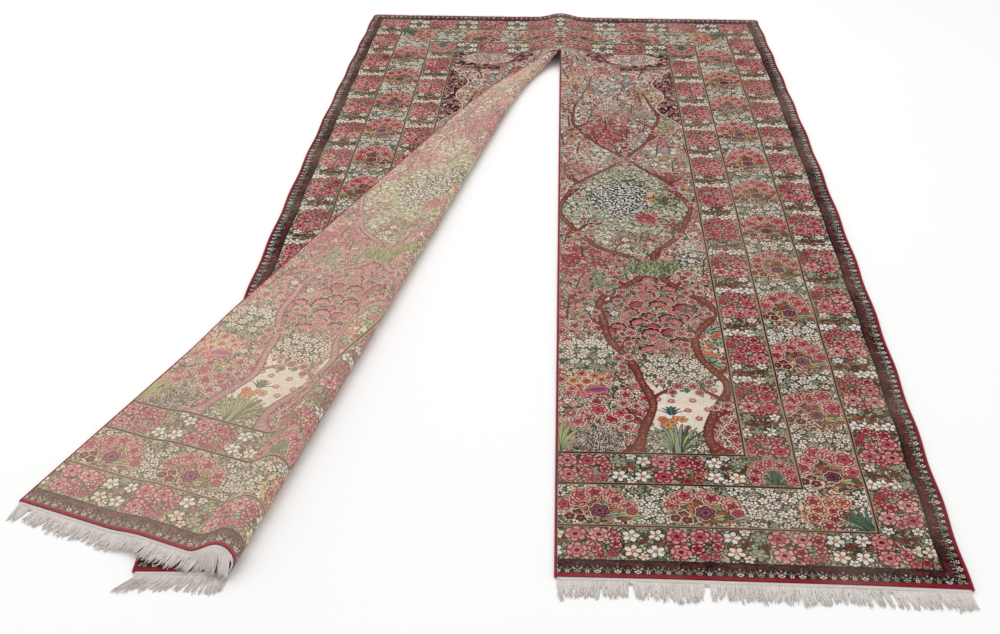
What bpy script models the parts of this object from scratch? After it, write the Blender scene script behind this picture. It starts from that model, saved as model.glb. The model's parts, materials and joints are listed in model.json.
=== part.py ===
"""A Persian rug with a long centre slit, laid out on a floor, the inner half of its left panel folded back.

The pile cloth is one sheet. Cords bind its two long sides and the two sides of the slit, and warp fringe stands in
locks along both ends. Every piece is first laid out flat in the rug's own cloth coordinates, u across from the slit
and v along from the fringed bottom end, and then carried by place() to where the cloth lies. Metres, +Z up, the floor
at z = 0, the rug's length along +Y, and the origin at the centre of the whole outline.
"""

import math

import bmesh
import bpy
import numpy as np

# The rug as woven
WIDTH = 1.40  # over both side cords
LENGTH = 2.96  # from end to end of the pile
THICKNESS = 0.006
SIDE_CORD = 0.006
SLIT_CORD = 0.005
JOINT_GAP = 0.0003
SLIT_GAP = 0.0008  # between the sheet's edge and the slit's cords
SLIT_END = 2.52  # the slit runs from v = 0 up to here
SLIT_CORD_STOP = 0.003  # the slit's cords end this far before it
SLIT_HALF = 0.0065  # half the width of the slot that both slit cords lie in

# How the sheet lies
SIDE_BOW = 0.019  # the long sides swell out by this at mid length
SCALLOP = 0.0016
SCALLOP_PITCH = 0.23
END_ARCH = 0.010  # the bottom end curves up by this towards the slit
END_SKEW = 0.036  # one top corner lies this much further than square, the other this much nearer
SLIT_DRIFT_RIGHT = 0.014  # how far right of the centre line the right panel's slit edge lies at v = 0
SLIT_DRIFT_LEFT = -0.027  # the same for the left panel's, before it is folded
SLIT_DRIFT_END = -0.007  # where the slit ends
MOUND_HEIGHT = 0.036  # the cloth stands up round the slit's end
MOUND_REACH_DOWN = 0.13
MOUND_HALF_WIDTH = 0.078
RIDGE_HEIGHT = 0.014  # what is left of the mound at the top end
RIDGE_HALF_WIDTH = 0.052
RIDGE_FADE = 0.16

# The fold
CREASE_SLOPE = 0.181  # how far the crease runs to the left for each metre down
CREASE_OFFSET = 0.085  # the crease stands off the slit by this once it is clear of the slit's end
CREASE_TURN = 0.135
LOOP_RADIUS_TOP = 0.012
LOOP_RADIUS_BOTTOM = 0.023
DESCENT_TOP = 0.050  # across the fold, from the top of the loop to where the flap lies on the cloth below
DESCENT_BOTTOM = 0.075
LAYER_GAP = 0.002
STEP_DOWN = 0.075  # the flap comes down to the floor over this much, past the left side
STEP_START = 0.004  # and starts down this far inside the left side
CREASE_STEPS = 24  # rounds that find the foot of a point on the crease

# Fringe
FRINGE_THICKNESS = 0.003
STRIP_DEPTH = 0.005
STRIP_SPLIT = 0.0006  # the left panel's strip is parted at the outermost line of the fold, by this to each side
LOCK_PITCH = 0.0092
TOP_LOCK_PITCH = 0.0136
LOCK_WIDTH = 0.0058
TOP_LOCK_WIDTH = 0.0075
TIP_WIDTH = 0.0030
FRINGE_LENGTH = 0.046
TOP_FRINGE_LENGTH = 0.023
FRINGE_STACK = 0.0050  # the flap's fringe lies this high over the fringe of the layer below
FRINGE_OVER_EDGE = 0.0064  # and this high where it also hangs over that layer's end
LEAST_ADVANCE = 0.62  # a lock that falls from the loop still reaches out by this share of its length
LEAST_FALL_RUN = 0.012  # a lock is down on what is below it at this length, or at FALL_RUN times its fall if more
FALL_RUN = 1.15
FAN_SPREAD = 0.8  # share of the loop's girth that the hanging locks' tips spread over
FAN_RETURN = 1.43  # where the locks of the loop's upper half land, in radii from the outermost line
SLOW_WAVE = 0.0045  # neighbouring locks lean aside together by up to this
MISSING_SHARE = 0.05  # of the locks are worn away
RIGHT_SWEEP = 0.012  # the locks at the right panel's outer corner sweep out by this

# The middle of the whole outline, in the rug's own coordinates
CENTRE = (-0.1244, 1.4860)

# Where the mesh has its points
CORD_SIDES_RESOLUTION = 1
LOOP_COLUMNS = 9
NEAR_CREASE = (0.16, 0.11, 0.07, 0.035)  # distances before the crease
RIGHT_COLUMNS = (0.035, 0.07, 0.11, 0.16, 0.26, 0.37, 0.48, 0.59)
SEED = 7

HALF = WIDTH / 2
SHEET_HALF = HALF - SIDE_CORD - JOINT_GAP
LIE = THICKNESS / 2  # height of the sheet's middle over the floor
LIE_ON_CLOTH = THICKNESS + LAYER_GAP

COLOURS = {  # red, green, blue, roughness
    "pile": (0.42, 0.22, 0.19, 0.95),
    "cord": (0.33, 0.03, 0.06, 0.85),
    "fringe": (0.62, 0.55, 0.50, 0.90),
}


def smooth(x):
    """0 up to x = 0, 1 from x = 1 on, and an even S between them."""
    x = np.clip(x, 0.0, 1.0)
    return x * x * (3 - 2 * x)


def mixed(low, high, share):
    return low + (high - low) * share


# --- Where the cloth lies ---------------------------------------------------------------


def lay_flat(u, v):
    """The plan of the sheet before it is folded: swollen sides, a top end out of square, the slit's drift."""
    across = np.clip(np.abs(u) / HALF, 0.0, 1.1)
    along = v / LENGTH
    swell = SIDE_BOW * np.sin(math.pi * np.clip(along, 0.0, 1.0)) + SCALLOP * np.sin(
        2 * math.pi * v / SCALLOP_PITCH + 1.5 * np.sin(2.1 * v) + np.sign(u)
    )
    at_start = np.where(u > 0, SLIT_DRIFT_RIGHT, SLIT_DRIFT_LEFT)
    drift = mixed(at_start, SLIT_DRIFT_END, np.minimum(v / SLIT_END, 1.0))
    x = u + np.sign(u) * swell * across**3 + drift * (1 - across)
    skew = END_SKEW * (u / HALF) * np.clip(along, 0.0, 1.1) ** 2
    arch = END_ARCH * (1 - across**2) * (1 - along)
    return x, v - skew + arch


def cloth_u(x, v):
    """The u that lay_flat() carries to x in the row at v."""
    u = x
    for _ in range(6):
        u = x - (lay_flat(u, v)[0] - u)
    return u


def crease_run(y):
    """How far the crease stands to the left of the slit at y, and its slope there."""
    down = np.maximum(SLIT_END - y, 0.0)
    bend = np.exp(-down / CREASE_TURN)
    offset = CREASE_SLOPE * down + CREASE_OFFSET * (1 - bend) - SLIT_DRIFT_END
    return offset, np.where(y < SLIT_END, CREASE_SLOPE + CREASE_OFFSET / CREASE_TURN * bend, 0.0)


def mound(x, y):
    """The height that the cloth keeps over the floor round the slit's end, and in the ridge beyond it."""
    beyond = y - SLIT_END
    ridge = mixed(RIDGE_HEIGHT, MOUND_HEIGHT, np.exp(-np.maximum(beyond, 0.0) / RIDGE_FADE))
    crest = np.where(beyond > 0, ridge, MOUND_HEIGHT * smooth(1 + beyond / MOUND_REACH_DOWN))
    half_width = mixed(MOUND_HALF_WIDTH, RIDGE_HALF_WIDTH, smooth(beyond / (LENGTH - SLIT_END)))
    return crest * np.exp(-(((x - SLIT_DRIFT_END) / half_width) ** 2))


def left_side(y):
    """x of the rug's left side at y."""
    x, _ = lay_flat(np.full_like(y, -HALF), y)
    return x


def ledge(x, y):
    """How high the cloth below carries the flap at x: over the left side it comes down to the floor."""
    return LIE_ON_CLOTH * smooth((x - left_side(y) + STEP_DOWN) / (STEP_DOWN - STEP_START))


def fold_place(x, y):
    """The foot of x, y on the crease, its distance past the crease, and the crease's direction there."""
    foot = y + 0.0
    for _ in range(CREASE_STEPS):
        offset, slope = crease_run(foot)
        angle = np.arctan(slope)
        past = np.maximum((x + offset) / np.cos(angle), 0.0)
        foot = np.minimum(y + past * np.sin(angle), SLIT_END)
    return foot, past, angle


def loop_radius(foot):
    return mixed(LOOP_RADIUS_TOP, LOOP_RADIUS_BOTTOM, np.clip((SLIT_END - foot) / SLIT_END, 0.0, 1.0))


def place(u, v):
    """The middle of the sheet in space: flat, then round the loop at the crease, then lying on what is below it."""
    u, v = np.broadcast_arrays(np.asarray(u, float), np.asarray(v, float))
    flat_x, flat_y = lay_flat(u, v)
    foot, past, angle = fold_place(flat_x, flat_y)
    folded = (u < 0) & (past > 0)
    radius = loop_radius(foot)
    turn = np.minimum(past / radius, math.pi)
    beyond = np.maximum(past - math.pi * radius, 0.0)
    reach = radius * np.sin(turn) - beyond
    x = np.where(folded, -crease_run(foot)[0] + reach * np.cos(angle), flat_x)
    y = np.where(folded, foot - reach * np.sin(angle), flat_y)
    descent = mixed(DESCENT_TOP, DESCENT_BOTTOM, np.clip((SLIT_END - foot) / SLIT_END, 0.0, 1.0))
    rest = ledge(x, y)
    fallen = rest + (2 * radius - rest) * (1 - smooth(beyond / descent))
    height = np.where(beyond > 0, fallen, radius * (1 - np.cos(turn)))
    z = LIE + np.where(folded, height, 0.0) + mound(x, y)
    return np.stack([x - CENTRE[0], y - CENTRE[1], z], axis=-1)


# --- Meshes -----------------------------------------------------------------------------


def clear_scene():
    for item in list(bpy.data.objects):
        bpy.data.objects.remove(item, do_unlink=True)


def material(kind):
    name = f"{kind}_finish"
    if name in bpy.data.materials:
        return bpy.data.materials[name]
    made = bpy.data.materials.new(name)
    made.use_nodes = True
    red, green, blue, rough = COLOURS[kind]
    shader = made.node_tree.nodes["Principled BSDF"]
    shader.inputs["Base Color"].default_value = (red, green, blue, 1.0)
    shader.inputs["Roughness"].default_value = rough
    made.diffuse_color = (red, green, blue, 1.0)
    return made


def sheet_object(name, bm, kind, thickness, collection):
    """An open surface given its thickness evenly to both sides."""
    bmesh.ops.triangulate(bm, faces=bm.faces[:])
    mesh = bpy.data.meshes.new(name)
    bm.to_mesh(mesh)
    bm.free()
    item = bpy.data.objects.new(name, mesh)
    collection.objects.link(item)
    item.data.materials.append(material(kind))
    wall = item.modifiers.new("thickness", "SOLIDIFY")
    wall.thickness = thickness
    wall.offset = 0.0
    return item


def cord_object(name, points, diameter, collection):
    curve = bpy.data.curves.new(name, "CURVE")
    curve.dimensions = "3D"
    curve.bevel_depth = diameter / 2
    curve.bevel_resolution = CORD_SIDES_RESOLUTION
    curve.use_fill_caps = True
    spline = curve.splines.new("POLY")
    spline.points.add(len(points) - 1)
    for target, point in zip(spline.points, points):
        target.co = (*point, 1.0)
    item = bpy.data.objects.new(name, curve)
    collection.objects.link(item)
    curve.materials.append(material("cord"))
    return item


# --- The pile cloth ---------------------------------------------------------------------


def rows_along():
    """v of each row of points: close at the slit's end and the top, wide in the plain stretch."""
    hem, curve, mound_foot = 0.10, SLIT_END - 0.42, SLIT_END - MOUND_REACH_DOWN
    stretches = (  # from, to, rows
        (0.0, hem, 2),
        (hem, curve, 20),
        (curve, mound_foot, 7),
        (mound_foot, SLIT_END, 13),
        (SLIT_END, LENGTH, 6),
    )
    rows = [np.linspace(start, end, count, endpoint=False) for start, end, count in stretches]
    return np.concatenate(rows + [[LENGTH]])


def columns_across(v):
    """u of each column in the row at v. The fold's own columns follow the crease and stop at the slit's edge."""
    offset, slope = crease_run(v)
    lean = math.cos(math.atan(slope))
    foot = min(v, SLIT_END)
    radius = float(loop_radius(foot))
    descent = mixed(DESCENT_TOP, DESCENT_BOTTOM, (SLIT_END - foot) / SLIT_END)
    crease = float(cloth_u(-offset, v))
    top_of_loop = math.pi * radius
    side = top_of_loop + (HALF - offset) / lean  # past the crease, where the flap reaches the rug's left side
    span = -SLIT_HALF - crease
    past = np.concatenate(
        [
            np.linspace(0.0, top_of_loop, LOOP_COLUMNS),
            np.linspace(top_of_loop, top_of_loop + descent, 6)[1:],
            np.linspace(min(top_of_loop + descent, side - 0.01), side - 0.005, 3)[1:],
            np.linspace(side, side + STEP_DOWN, 5),
            np.linspace(side + STEP_DOWN, max(span / lean, side + STEP_DOWN), 3)[1:],
        ]
    )
    past = np.maximum.accumulate(past)
    flat = np.linspace(-SHEET_HALF, crease - NEAR_CREASE[0], 3)
    near = crease - np.array(NEAR_CREASE[1:])
    fold = np.minimum(crease + past / lean, -SLIT_HALF)
    right = np.array([SLIT_HALF, *RIGHT_COLUMNS, SHEET_HALF])
    return np.concatenate([np.maximum(flat, -SHEET_HALF), np.maximum(near, -SHEET_HALF), fold, right])


def pile_cloth(collection):
    rows = rows_along()
    table = np.array([columns_across(v) for v in rows])
    row_count, column_count = table.shape
    slit_column = int(np.argmax(table[0] > 0)) - 1
    bm = bmesh.new()
    bmesh.ops.create_grid(bm, x_segments=column_count - 1, y_segments=row_count - 1, size=1.0)
    points = np.array([vert.co for vert in bm.verts])
    column = np.rint((points[:, 0] + 1) / 2 * (column_count - 1)).astype(int)
    row = np.rint((points[:, 1] + 1) / 2 * (row_count - 1)).astype(int)
    in_slit = []
    for face in bm.faces:
        columns = [column[vert.index] for vert in face.verts]
        if min(columns) == slit_column and max(rows[row[vert.index]] for vert in face.verts) <= SLIT_END + 1e-9:
            in_slit.append(face)
    placed = place(table[row, column], rows[row])
    for vert, point in zip(bm.verts, placed):
        vert.co = point
    bmesh.ops.delete(bm, geom=in_slit, context="FACES")
    bmesh.ops.remove_doubles(bm, verts=bm.verts[:], dist=1e-5)
    bmesh.ops.dissolve_degenerate(bm, edges=bm.edges[:], dist=1e-5)
    return sheet_object("pile_cloth", bm, "pile", THICKNESS, collection)


# --- Cords ------------------------------------------------------------------------------


def cords(collection):
    rows = rows_along()
    side = HALF - SIDE_CORD / 2
    for name, u in (("side_cord_left", -side), ("side_cord_right", side)):
        cord_object(name, place(u, rows), SIDE_CORD, collection)
    stop = SLIT_END - SLIT_CORD_STOP
    slit_rows = np.append(rows[rows < stop - SLIT_CORD], stop)
    inset = SLIT_HALF - SLIT_GAP - SLIT_CORD / 2
    for name, u in (("slit_cord_left", -inset), ("slit_cord_right", inset)):
        cord_object(name, place(u, slit_rows), SLIT_CORD, collection)


# --- Fringe -----------------------------------------------------------------------------


def lateral(u, v, step=0.0008):
    """The unit direction in which u grows on the placed cloth."""
    across = place(u + step, v) - place(u - step, v)
    return across / np.linalg.norm(across, axis=-1, keepdims=True)


def support(x, y, on_flap):
    """The height of what lies under a lock of fringe at x, y: the floor, the cloth below or the fringe below."""
    if not on_flap:
        return np.zeros_like(x)
    crease = -crease_run(np.zeros_like(y))[0]
    over_edge = FRINGE_OVER_EDGE * smooth((x - left_side(y) + STEP_DOWN) / STEP_DOWN)
    past_end = smooth((0.004 - y) / 0.012)
    beside = smooth((x - crease) / 0.01)
    return mixed(mixed(ledge(x, y), over_edge, past_end), FRINGE_STACK, beside)


def fan(u, v):
    """How far a lock that hangs from the loop swings out to the side, so that the locks land beside each other."""
    x, y = lay_flat(u, v)
    foot, past, _ = fold_place(x, y)
    radius = loop_radius(foot)
    turn = np.where(u < 0, past / radius, 0.0)
    rising = FAN_SPREAD * turn - np.sin(turn)
    returning = FAN_RETURN - FAN_SPREAD * (turn - math.pi / 2) - np.sin(np.minimum(turn, math.pi))
    returning = np.where(turn < math.pi + 0.2, np.maximum(returning, 0.0), 0.0)
    return radius * np.where(turn < math.pi / 2, rising, returning)


def lock_points(u, reach, half_width, sway, end, out, on_flap):
    """Two edges of each lock at a distance beyond the strip: it falls to what is below it and lies level there."""
    root = place(u, end + out * STRIP_DEPTH)
    ahead = place(u, end + out * (STRIP_DEPTH + 0.01))
    heading = ahead[:, :2] - root[:, :2]
    heading /= np.linalg.norm(heading, axis=-1, keepdims=True)
    facing = out if on_flap else -out
    across = lateral(u, np.full_like(u, end))
    aim = root[:, :2] + heading * reach[:, None]
    low = support(aim[:, 0] + CENTRE[0], aim[:, 1] + CENTRE[1], on_flap) + FRINGE_THICKNESS / 2
    fall = np.maximum(root[:, 2] - low, 0.0)
    share = smooth(reach / np.maximum(LEAST_FALL_RUN, FALL_RUN * fall))
    advance = np.sqrt(np.maximum(reach**2 - (fall * share) ** 2, (LEAST_ADVANCE * reach) ** 2))
    swing = (sway + fan(u, np.full_like(u, end))) * smooth(reach / FRINGE_LENGTH)
    plan = root[:, :2] + heading * advance[:, None]
    plan[:, 0] += swing
    centre = np.column_stack([plan, root[:, 2] - fall * share])
    level = np.column_stack([-facing * heading[:, 1], facing * heading[:, 0], np.zeros_like(u)])
    width_way = across * (1 - share[:, None]) + level * share[:, None]
    width_way /= np.linalg.norm(width_way, axis=-1, keepdims=True)
    return centre - width_way * half_width[:, None], centre + width_way * half_width[:, None]


def fringe(name, start, stop, end, out, pitch, length, width, steps, on_flap, sweep, bare, collection):
    """A strip beside the cloth's end from u = start to stop, and a row of locks fused to it except where it is bare."""
    chance = np.random.default_rng(SEED + len(name))
    count = int(round((stop - start) / pitch))
    edges = np.linspace(start, stop, count + 1)
    middle = (edges[:-1] + edges[1:]) / 2
    slow = np.sin(middle * 31.0 + len(name)) * 0.5 + np.sin(middle * 57.0 + 2.0) * 0.5
    lengths = length * (0.90 + 0.10 * slow + chance.uniform(-0.10, 0.08, count))
    sways = SLOW_WAVE * slow + sweep * ((middle - start) / (stop - start)) ** 8
    keep = chance.uniform(size=count) > MISSING_SHARE
    keep[bare] = False
    bm = bmesh.new()
    back = place(edges, end + out * JOINT_GAP)
    root_left = place(middle - width / 2, end + out * STRIP_DEPTH)
    root_right = place(middle + width / 2, end + out * STRIP_DEPTH)
    back_verts = [bm.verts.new(point) for point in back]
    left_verts = [bm.verts.new(point) for point in root_left]
    right_verts = [bm.verts.new(point) for point in root_right]
    last = bm.verts.new(place(edges[-1], end + out * STRIP_DEPTH))
    first = bm.verts.new(place(edges[0], end + out * STRIP_DEPTH))
    for i in range(count):
        following = left_verts[i + 1] if i + 1 < count else last
        cell = [back_verts[i], left_verts[i], right_verts[i], following, back_verts[i + 1]]
        if i == 0:
            cell.insert(1, first)
        bm.faces.new(cell if out < 0 else cell[::-1])
    rails = [(left_verts, right_verts)]
    for step in range(1, steps + 1):
        share = step / steps
        half = mixed(width, TIP_WIDTH, share**1.5) / 2 * np.ones(count)
        low_edge, high_edge = lock_points(middle, lengths * share, half, sways, end, out, on_flap)
        rails.append(([bm.verts.new(p) for p in low_edge], [bm.verts.new(p) for p in high_edge]))
    for (left_a, right_a), (left_b, right_b) in zip(rails, rails[1:]):
        for i in np.flatnonzero(keep):
            quad = [left_a[i], left_b[i], right_b[i], right_a[i]]
            bm.faces.new(quad if out < 0 else quad[::-1])
    loose = [vert for vert in bm.verts if not vert.link_faces]
    bmesh.ops.delete(bm, geom=loose, context="VERTS")
    return sheet_object(name, bm, "fringe", FRINGE_THICKNESS, collection)


def fringes(collection):
    quarter_turn = math.pi / 2 * LOOP_RADIUS_BOTTOM / math.cos(math.atan(CREASE_SLOPE))
    fold_line = float(cloth_u(quarter_turn - crease_run(0.0)[0], 0.0))
    rows = (  # name, start, stop, on the flap, sweep, bare
        ("fringe_left_panel", -SHEET_HALF, fold_line - STRIP_SPLIT, False, 0.0, slice(-2, None)),
        ("fringe_flap", fold_line + STRIP_SPLIT, -SLIT_HALF, True, 0.0, slice(0, 1)),
        ("fringe_right_panel", SLIT_HALF, SHEET_HALF, False, RIGHT_SWEEP, slice(0, 0)),
    )
    for name, start, stop, on_flap, sweep, bare in rows:
        fringe(
            name, start, stop, 0.0, -1, LOCK_PITCH, FRINGE_LENGTH, LOCK_WIDTH, 2, on_flap, sweep, bare, collection
        )
    fringe(
        "fringe_top", -SHEET_HALF, SHEET_HALF, LENGTH, 1, TOP_LOCK_PITCH, TOP_FRINGE_LENGTH, TOP_LOCK_WIDTH, 1,
        False, 0.0, slice(0, 0), collection,
    )


def main():
    clear_scene()
    collection = bpy.data.collections.new("persian_rug")
    bpy.context.scene.collection.children.link(collection)
    pile_cloth(collection)
    cords(collection)
    fringes(collection)


main()
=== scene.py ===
"""A knotted garden rug, slit up its middle from the near end, its left half folded back on itself.

It is laid out as a Blender add-on and run as a script. Everything is in metres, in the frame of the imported
model: +Y runs along the rug from the near end to the far end, +Z is up, and the floor is z = 0. The cloth has
its own coordinates: u across it from the slit, v along it from the near end.
"""

import functools
import json
import math

import bpy
import numpy as np
from bpy.props import FloatProperty, FloatVectorProperty, IntProperty, PointerProperty
from bpy.types import Operator, Panel, PropertyGroup
from mathutils import Matrix, Vector

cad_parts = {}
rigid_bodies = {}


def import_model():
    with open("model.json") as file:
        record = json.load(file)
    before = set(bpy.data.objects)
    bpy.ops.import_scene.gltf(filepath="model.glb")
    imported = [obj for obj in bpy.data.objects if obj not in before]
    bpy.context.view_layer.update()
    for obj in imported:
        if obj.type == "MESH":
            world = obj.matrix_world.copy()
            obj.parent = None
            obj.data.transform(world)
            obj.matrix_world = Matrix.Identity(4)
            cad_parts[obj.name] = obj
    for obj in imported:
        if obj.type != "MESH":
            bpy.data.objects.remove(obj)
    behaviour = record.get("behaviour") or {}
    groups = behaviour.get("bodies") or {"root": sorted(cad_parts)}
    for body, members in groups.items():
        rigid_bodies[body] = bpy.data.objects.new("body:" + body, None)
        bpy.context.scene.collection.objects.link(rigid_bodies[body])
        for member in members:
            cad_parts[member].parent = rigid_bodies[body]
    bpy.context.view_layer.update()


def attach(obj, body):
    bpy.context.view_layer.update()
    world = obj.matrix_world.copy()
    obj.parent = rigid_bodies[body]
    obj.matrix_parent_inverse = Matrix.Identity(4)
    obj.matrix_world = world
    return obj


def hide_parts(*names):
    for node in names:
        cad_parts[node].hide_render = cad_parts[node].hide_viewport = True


bl_info = {
    "name": "Folded garden rug",
    "version": (1, 0, 0),
    "blender": (4, 5, 0),
    "location": "View3D > Sidebar > Rug",
    "description": "Builds a knotted garden rug that is slit up its middle, with one half folded back",
    "category": "Object",
}

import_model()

# --- Sizes of the cloth, as the solids have them ---

WIDTH, LENGTH, THICKNESS = 1.4, 2.96, 0.006
SIDE_CORD, SLIT_CORD = 0.006, 0.005
JOINT_GAP, SLIT_GAP = 0.0003, 0.0008
SLIT_END, SLIT_CORD_STOP, SLIT_HALF = 2.52, 0.003, 0.0065
SIDE_BOW, SCALLOP, SCALLOP_PITCH, SCALLOP_STRAY, SCALLOP_STRAY_TURN = 0.019, 0.0016, 0.23, 1.5, 2.1
FURTHEST, INVERSE_STEPS = 1.1, 6  # where the swell and the skew stop growing; steps of cloth_u()
END_ARCH, END_SKEW = 0.01, 0.036
SLIT_DRIFT_RIGHT, SLIT_DRIFT_LEFT, SLIT_DRIFT_END = 0.014, -0.027, -0.007
MOUND_HEIGHT, MOUND_REACH_DOWN, MOUND_HALF_WIDTH = 0.036, 0.13, 0.078
RIDGE_HEIGHT, RIDGE_HALF_WIDTH, RIDGE_FADE = 0.014, 0.052, 0.16
CREASE_SLOPE, CREASE_OFFSET, CREASE_TURN, CREASE_STEPS = 0.181, 0.085, 0.135, 24
LOOP_RADIUS_TOP, LOOP_RADIUS_BOTTOM = 0.012, 0.023
DESCENT_TOP, DESCENT_BOTTOM = 0.05, 0.075
STEP_DOWN, STEP_START = 0.075, 0.004
STRIP_DEPTH, STRIP_SPLIT = 0.005, 0.0006
FRINGE_THICKNESS, FRINGE_STACK, FRINGE_OVER_EDGE = 0.003, 0.005, 0.0064
FRINGE_LENGTH, TOP_FRINGE_LENGTH = 0.046, 0.023
LOCK_PITCH, TOP_LOCK_PITCH = 0.0092, 0.0136
LEAST_ADVANCE, LEAST_FALL_RUN, FALL_RUN = 0.62, 0.012, 1.15
PAST_END, PAST_END_RUN, PAST_CREASE_RUN = 0.004, 0.012, 0.01
FAN_SPREAD, FAN_RETURN, FAN_OVERRUN = 0.8, 1.43, 0.2
SLOW_WAVE, WORN_SHARE, STUB_SHARE = 0.0045, 0.05, 0.2  # how many locks are worn down, and what is left of them
RIGHT_SWEEP, LEFT_COMB = 0.012, -0.03  # how far the right panel's last and the left's first tips lie aside
CENTRE = (-0.1244, 1.486)  # x and y, in the cloth's own layout, of the frame's origin
HALF = WIDTH / 2
SHEET_HALF = HALF - SIDE_CORD - JOINT_GAP
LIE, LIE_ON_CLOTH = THICKNESS / 2, THICKNESS + 0.002

# --- Sizes that only the looks have ---

PACKING = 0.0725  # the knots are packed closer towards the far end, by this share of the length
PATTERN_LENGTH = LENGTH * (1 - PACKING)
KNOTS_ACROSS, KNOTS_ALONG = 4, 3  # in one face
FACE_WIDTH = 0.006
FACE_COLUMNS, FACE_ROWS = 116, 608
FACE_LENGTH = PATTERN_LENGTH / FACE_ROWS
KNOT = FACE_WIDTH / KNOTS_ACROSS
ROW = FACE_LENGTH / KNOTS_ALONG
SECTIONS = 8
SLIVER = 0.0005  # width of the first column of faces beside the slit
WRAP_PITCH, WRAP_DEPTH, RINGS_A_WRAP, CORD_SIDES = 0.0045, 0.1, 3, 6
STRAND_RINGS, STRAND_WAVE = 7, 0.0013
ROOT_STEP, SIDE_STEP = 0.01, 0.0008  # steps on the cloth that give a strand's heading and the way beside it
STRIP_FACE, STRIP_THICKNESS = 0.006, 0.0024
BAKE_MARGIN, BAKE_ACROSS, BAKE_ALONG, BAKE_RIM, BAKE_LIFT = 0.006, 0.93, 0.488, 0.004, 0.5
CORD_BAKE, CORD_BAKE_WIDTH, CORD_MAP_STEP = (0.95, 0.975), 0.02, 0.001
THREADS_A_TURN, PLY_TURN = 3, 0.0032  # wool threads in one turn of a cord, length of one turn of the cotton's plies
NOISE_SPAN = (0.3, 0.7)  # the values that noise mostly has
STRIP_BAKE, STRIP_TONE, STRIP_OVERLAP = 0.1, 0.4, 0.001
CELL_MARGIN, CELL_SHARE = 0.06, 0.88  # each strand's place in its cell of the map for bakes
CLOTH_CREASE, FRINGE_CREASE = math.radians(70), math.radians(100)  # edges that turn by more are drawn sharp
FLOOR_HALF, FLOOR_POINTS = 15.0, 5
KEY_PLACE, KEY_SIZE, KEY_COLOUR = (-1.0, 1.2, 4.2), 4.0, (1.0, 0.985, 0.96)
FILL_PLACE, FILL_SIZE, FILL_COLOUR = (1.6, -4.4, 2.6), 3.0, (0.97, 0.985, 1.0)
CAMERA_PLACE, CAMERA_LENS = (0.1602, -3.0707, 1.4712), 45.82
CAMERA_PITCH, CAMERA_ROLL, CAMERA_YAW = 0.542218222, -0.0219561389, 0.0635951535
SEED = 7


def smooth(x):
    """0 up to x = 0, 1 from x = 1 on, and an even S between them."""
    x = np.clip(x, 0.0, 1.0)
    return x * x * (3 - 2 * x)


def mixed(low, high, share):
    """low where share is 0, high where it is 1, and in proportion between."""
    return low + (high - low) * share


# --- Where the cloth lies ---


def lay_flat(u, v):
    """The plan before folding: u plus a swell of the sides that grows as the cube of the way across, plus the
    slit's drift; v less a skew that grows as the square of the way along, plus an arch of the near end."""
    across = np.clip(np.abs(u) / HALF, 0.0, FURTHEST)
    along = v / LENGTH
    phase = 2 * math.pi * v / SCALLOP_PITCH + SCALLOP_STRAY * np.sin(SCALLOP_STRAY_TURN * v) + np.sign(u)
    swell = SIDE_BOW * np.sin(math.pi * np.clip(along, 0.0, 1.0)) + SCALLOP * np.sin(phase)
    at_start = np.where(u > 0, SLIT_DRIFT_RIGHT, SLIT_DRIFT_LEFT)
    drift = mixed(at_start, SLIT_DRIFT_END, np.minimum(v / SLIT_END, 1.0))
    x = u + np.sign(u) * swell * across**3 + drift * (1 - across)
    skew = END_SKEW * (u / HALF) * np.clip(along, 0.0, FURTHEST) ** 2
    arch = END_ARCH * (1 - across**2) * (1 - along)
    return x, v - skew + arch


def cloth_u(x, v):
    """The u that lay_flat() carries to x in the row at v, closer with each step."""
    u = x
    for _ in range(INVERSE_STEPS):
        u = x - (lay_flat(u, v)[0] - u)
    return u


def crease_run(y):
    """How far the crease stands to the left of the slit at y, a slope plus a bend that dies away, and its slope."""
    down = np.maximum(SLIT_END - y, 0.0)
    bend = np.exp(-down / CREASE_TURN)
    offset = CREASE_SLOPE * down + CREASE_OFFSET * (1 - bend) - SLIT_DRIFT_END
    return offset, np.where(y < SLIT_END, CREASE_SLOPE + CREASE_OFFSET / CREASE_TURN * bend, 0.0)


def mound(x, y):
    """A bell across the slit's line, high at the slit's end, fading to a low ridge beyond it."""
    beyond = y - SLIT_END
    ridge = mixed(RIDGE_HEIGHT, MOUND_HEIGHT, np.exp(-np.maximum(beyond, 0.0) / RIDGE_FADE))
    crest = np.where(beyond > 0, ridge, MOUND_HEIGHT * smooth(1 + beyond / MOUND_REACH_DOWN))
    half_width = mixed(MOUND_HALF_WIDTH, RIDGE_HALF_WIDTH, smooth(beyond / (LENGTH - SLIT_END)))
    return crest * np.exp(-(((x - SLIT_DRIFT_END) / half_width) ** 2))


def left_side(y):
    """x of the left side at y."""
    return lay_flat(np.full_like(y, -HALF), y)[0]


def ledge(x, y):
    """How high the cloth below carries the flap at x: over the left side it comes down to the floor."""
    return LIE_ON_CLOTH * smooth((x - left_side(y) + STEP_DOWN) / (STEP_DOWN - STEP_START))


def fold_place(x, y):
    """The foot of x, y on the crease, its distance past the crease, and the crease's direction there."""
    foot = y + 0.0
    for _ in range(CREASE_STEPS):
        offset, slope = crease_run(foot)
        angle = np.arctan(slope)
        past = np.maximum((x + offset) / np.cos(angle), 0.0)
        foot = np.minimum(y + past * np.sin(angle), SLIT_END)
    return foot, past, angle


def down_share(foot):
    """How far down the slit a place on the crease is: 0 at the slit's end, 1 at the near end."""
    return np.clip((SLIT_END - foot) / SLIT_END, 0.0, 1.0)


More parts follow.
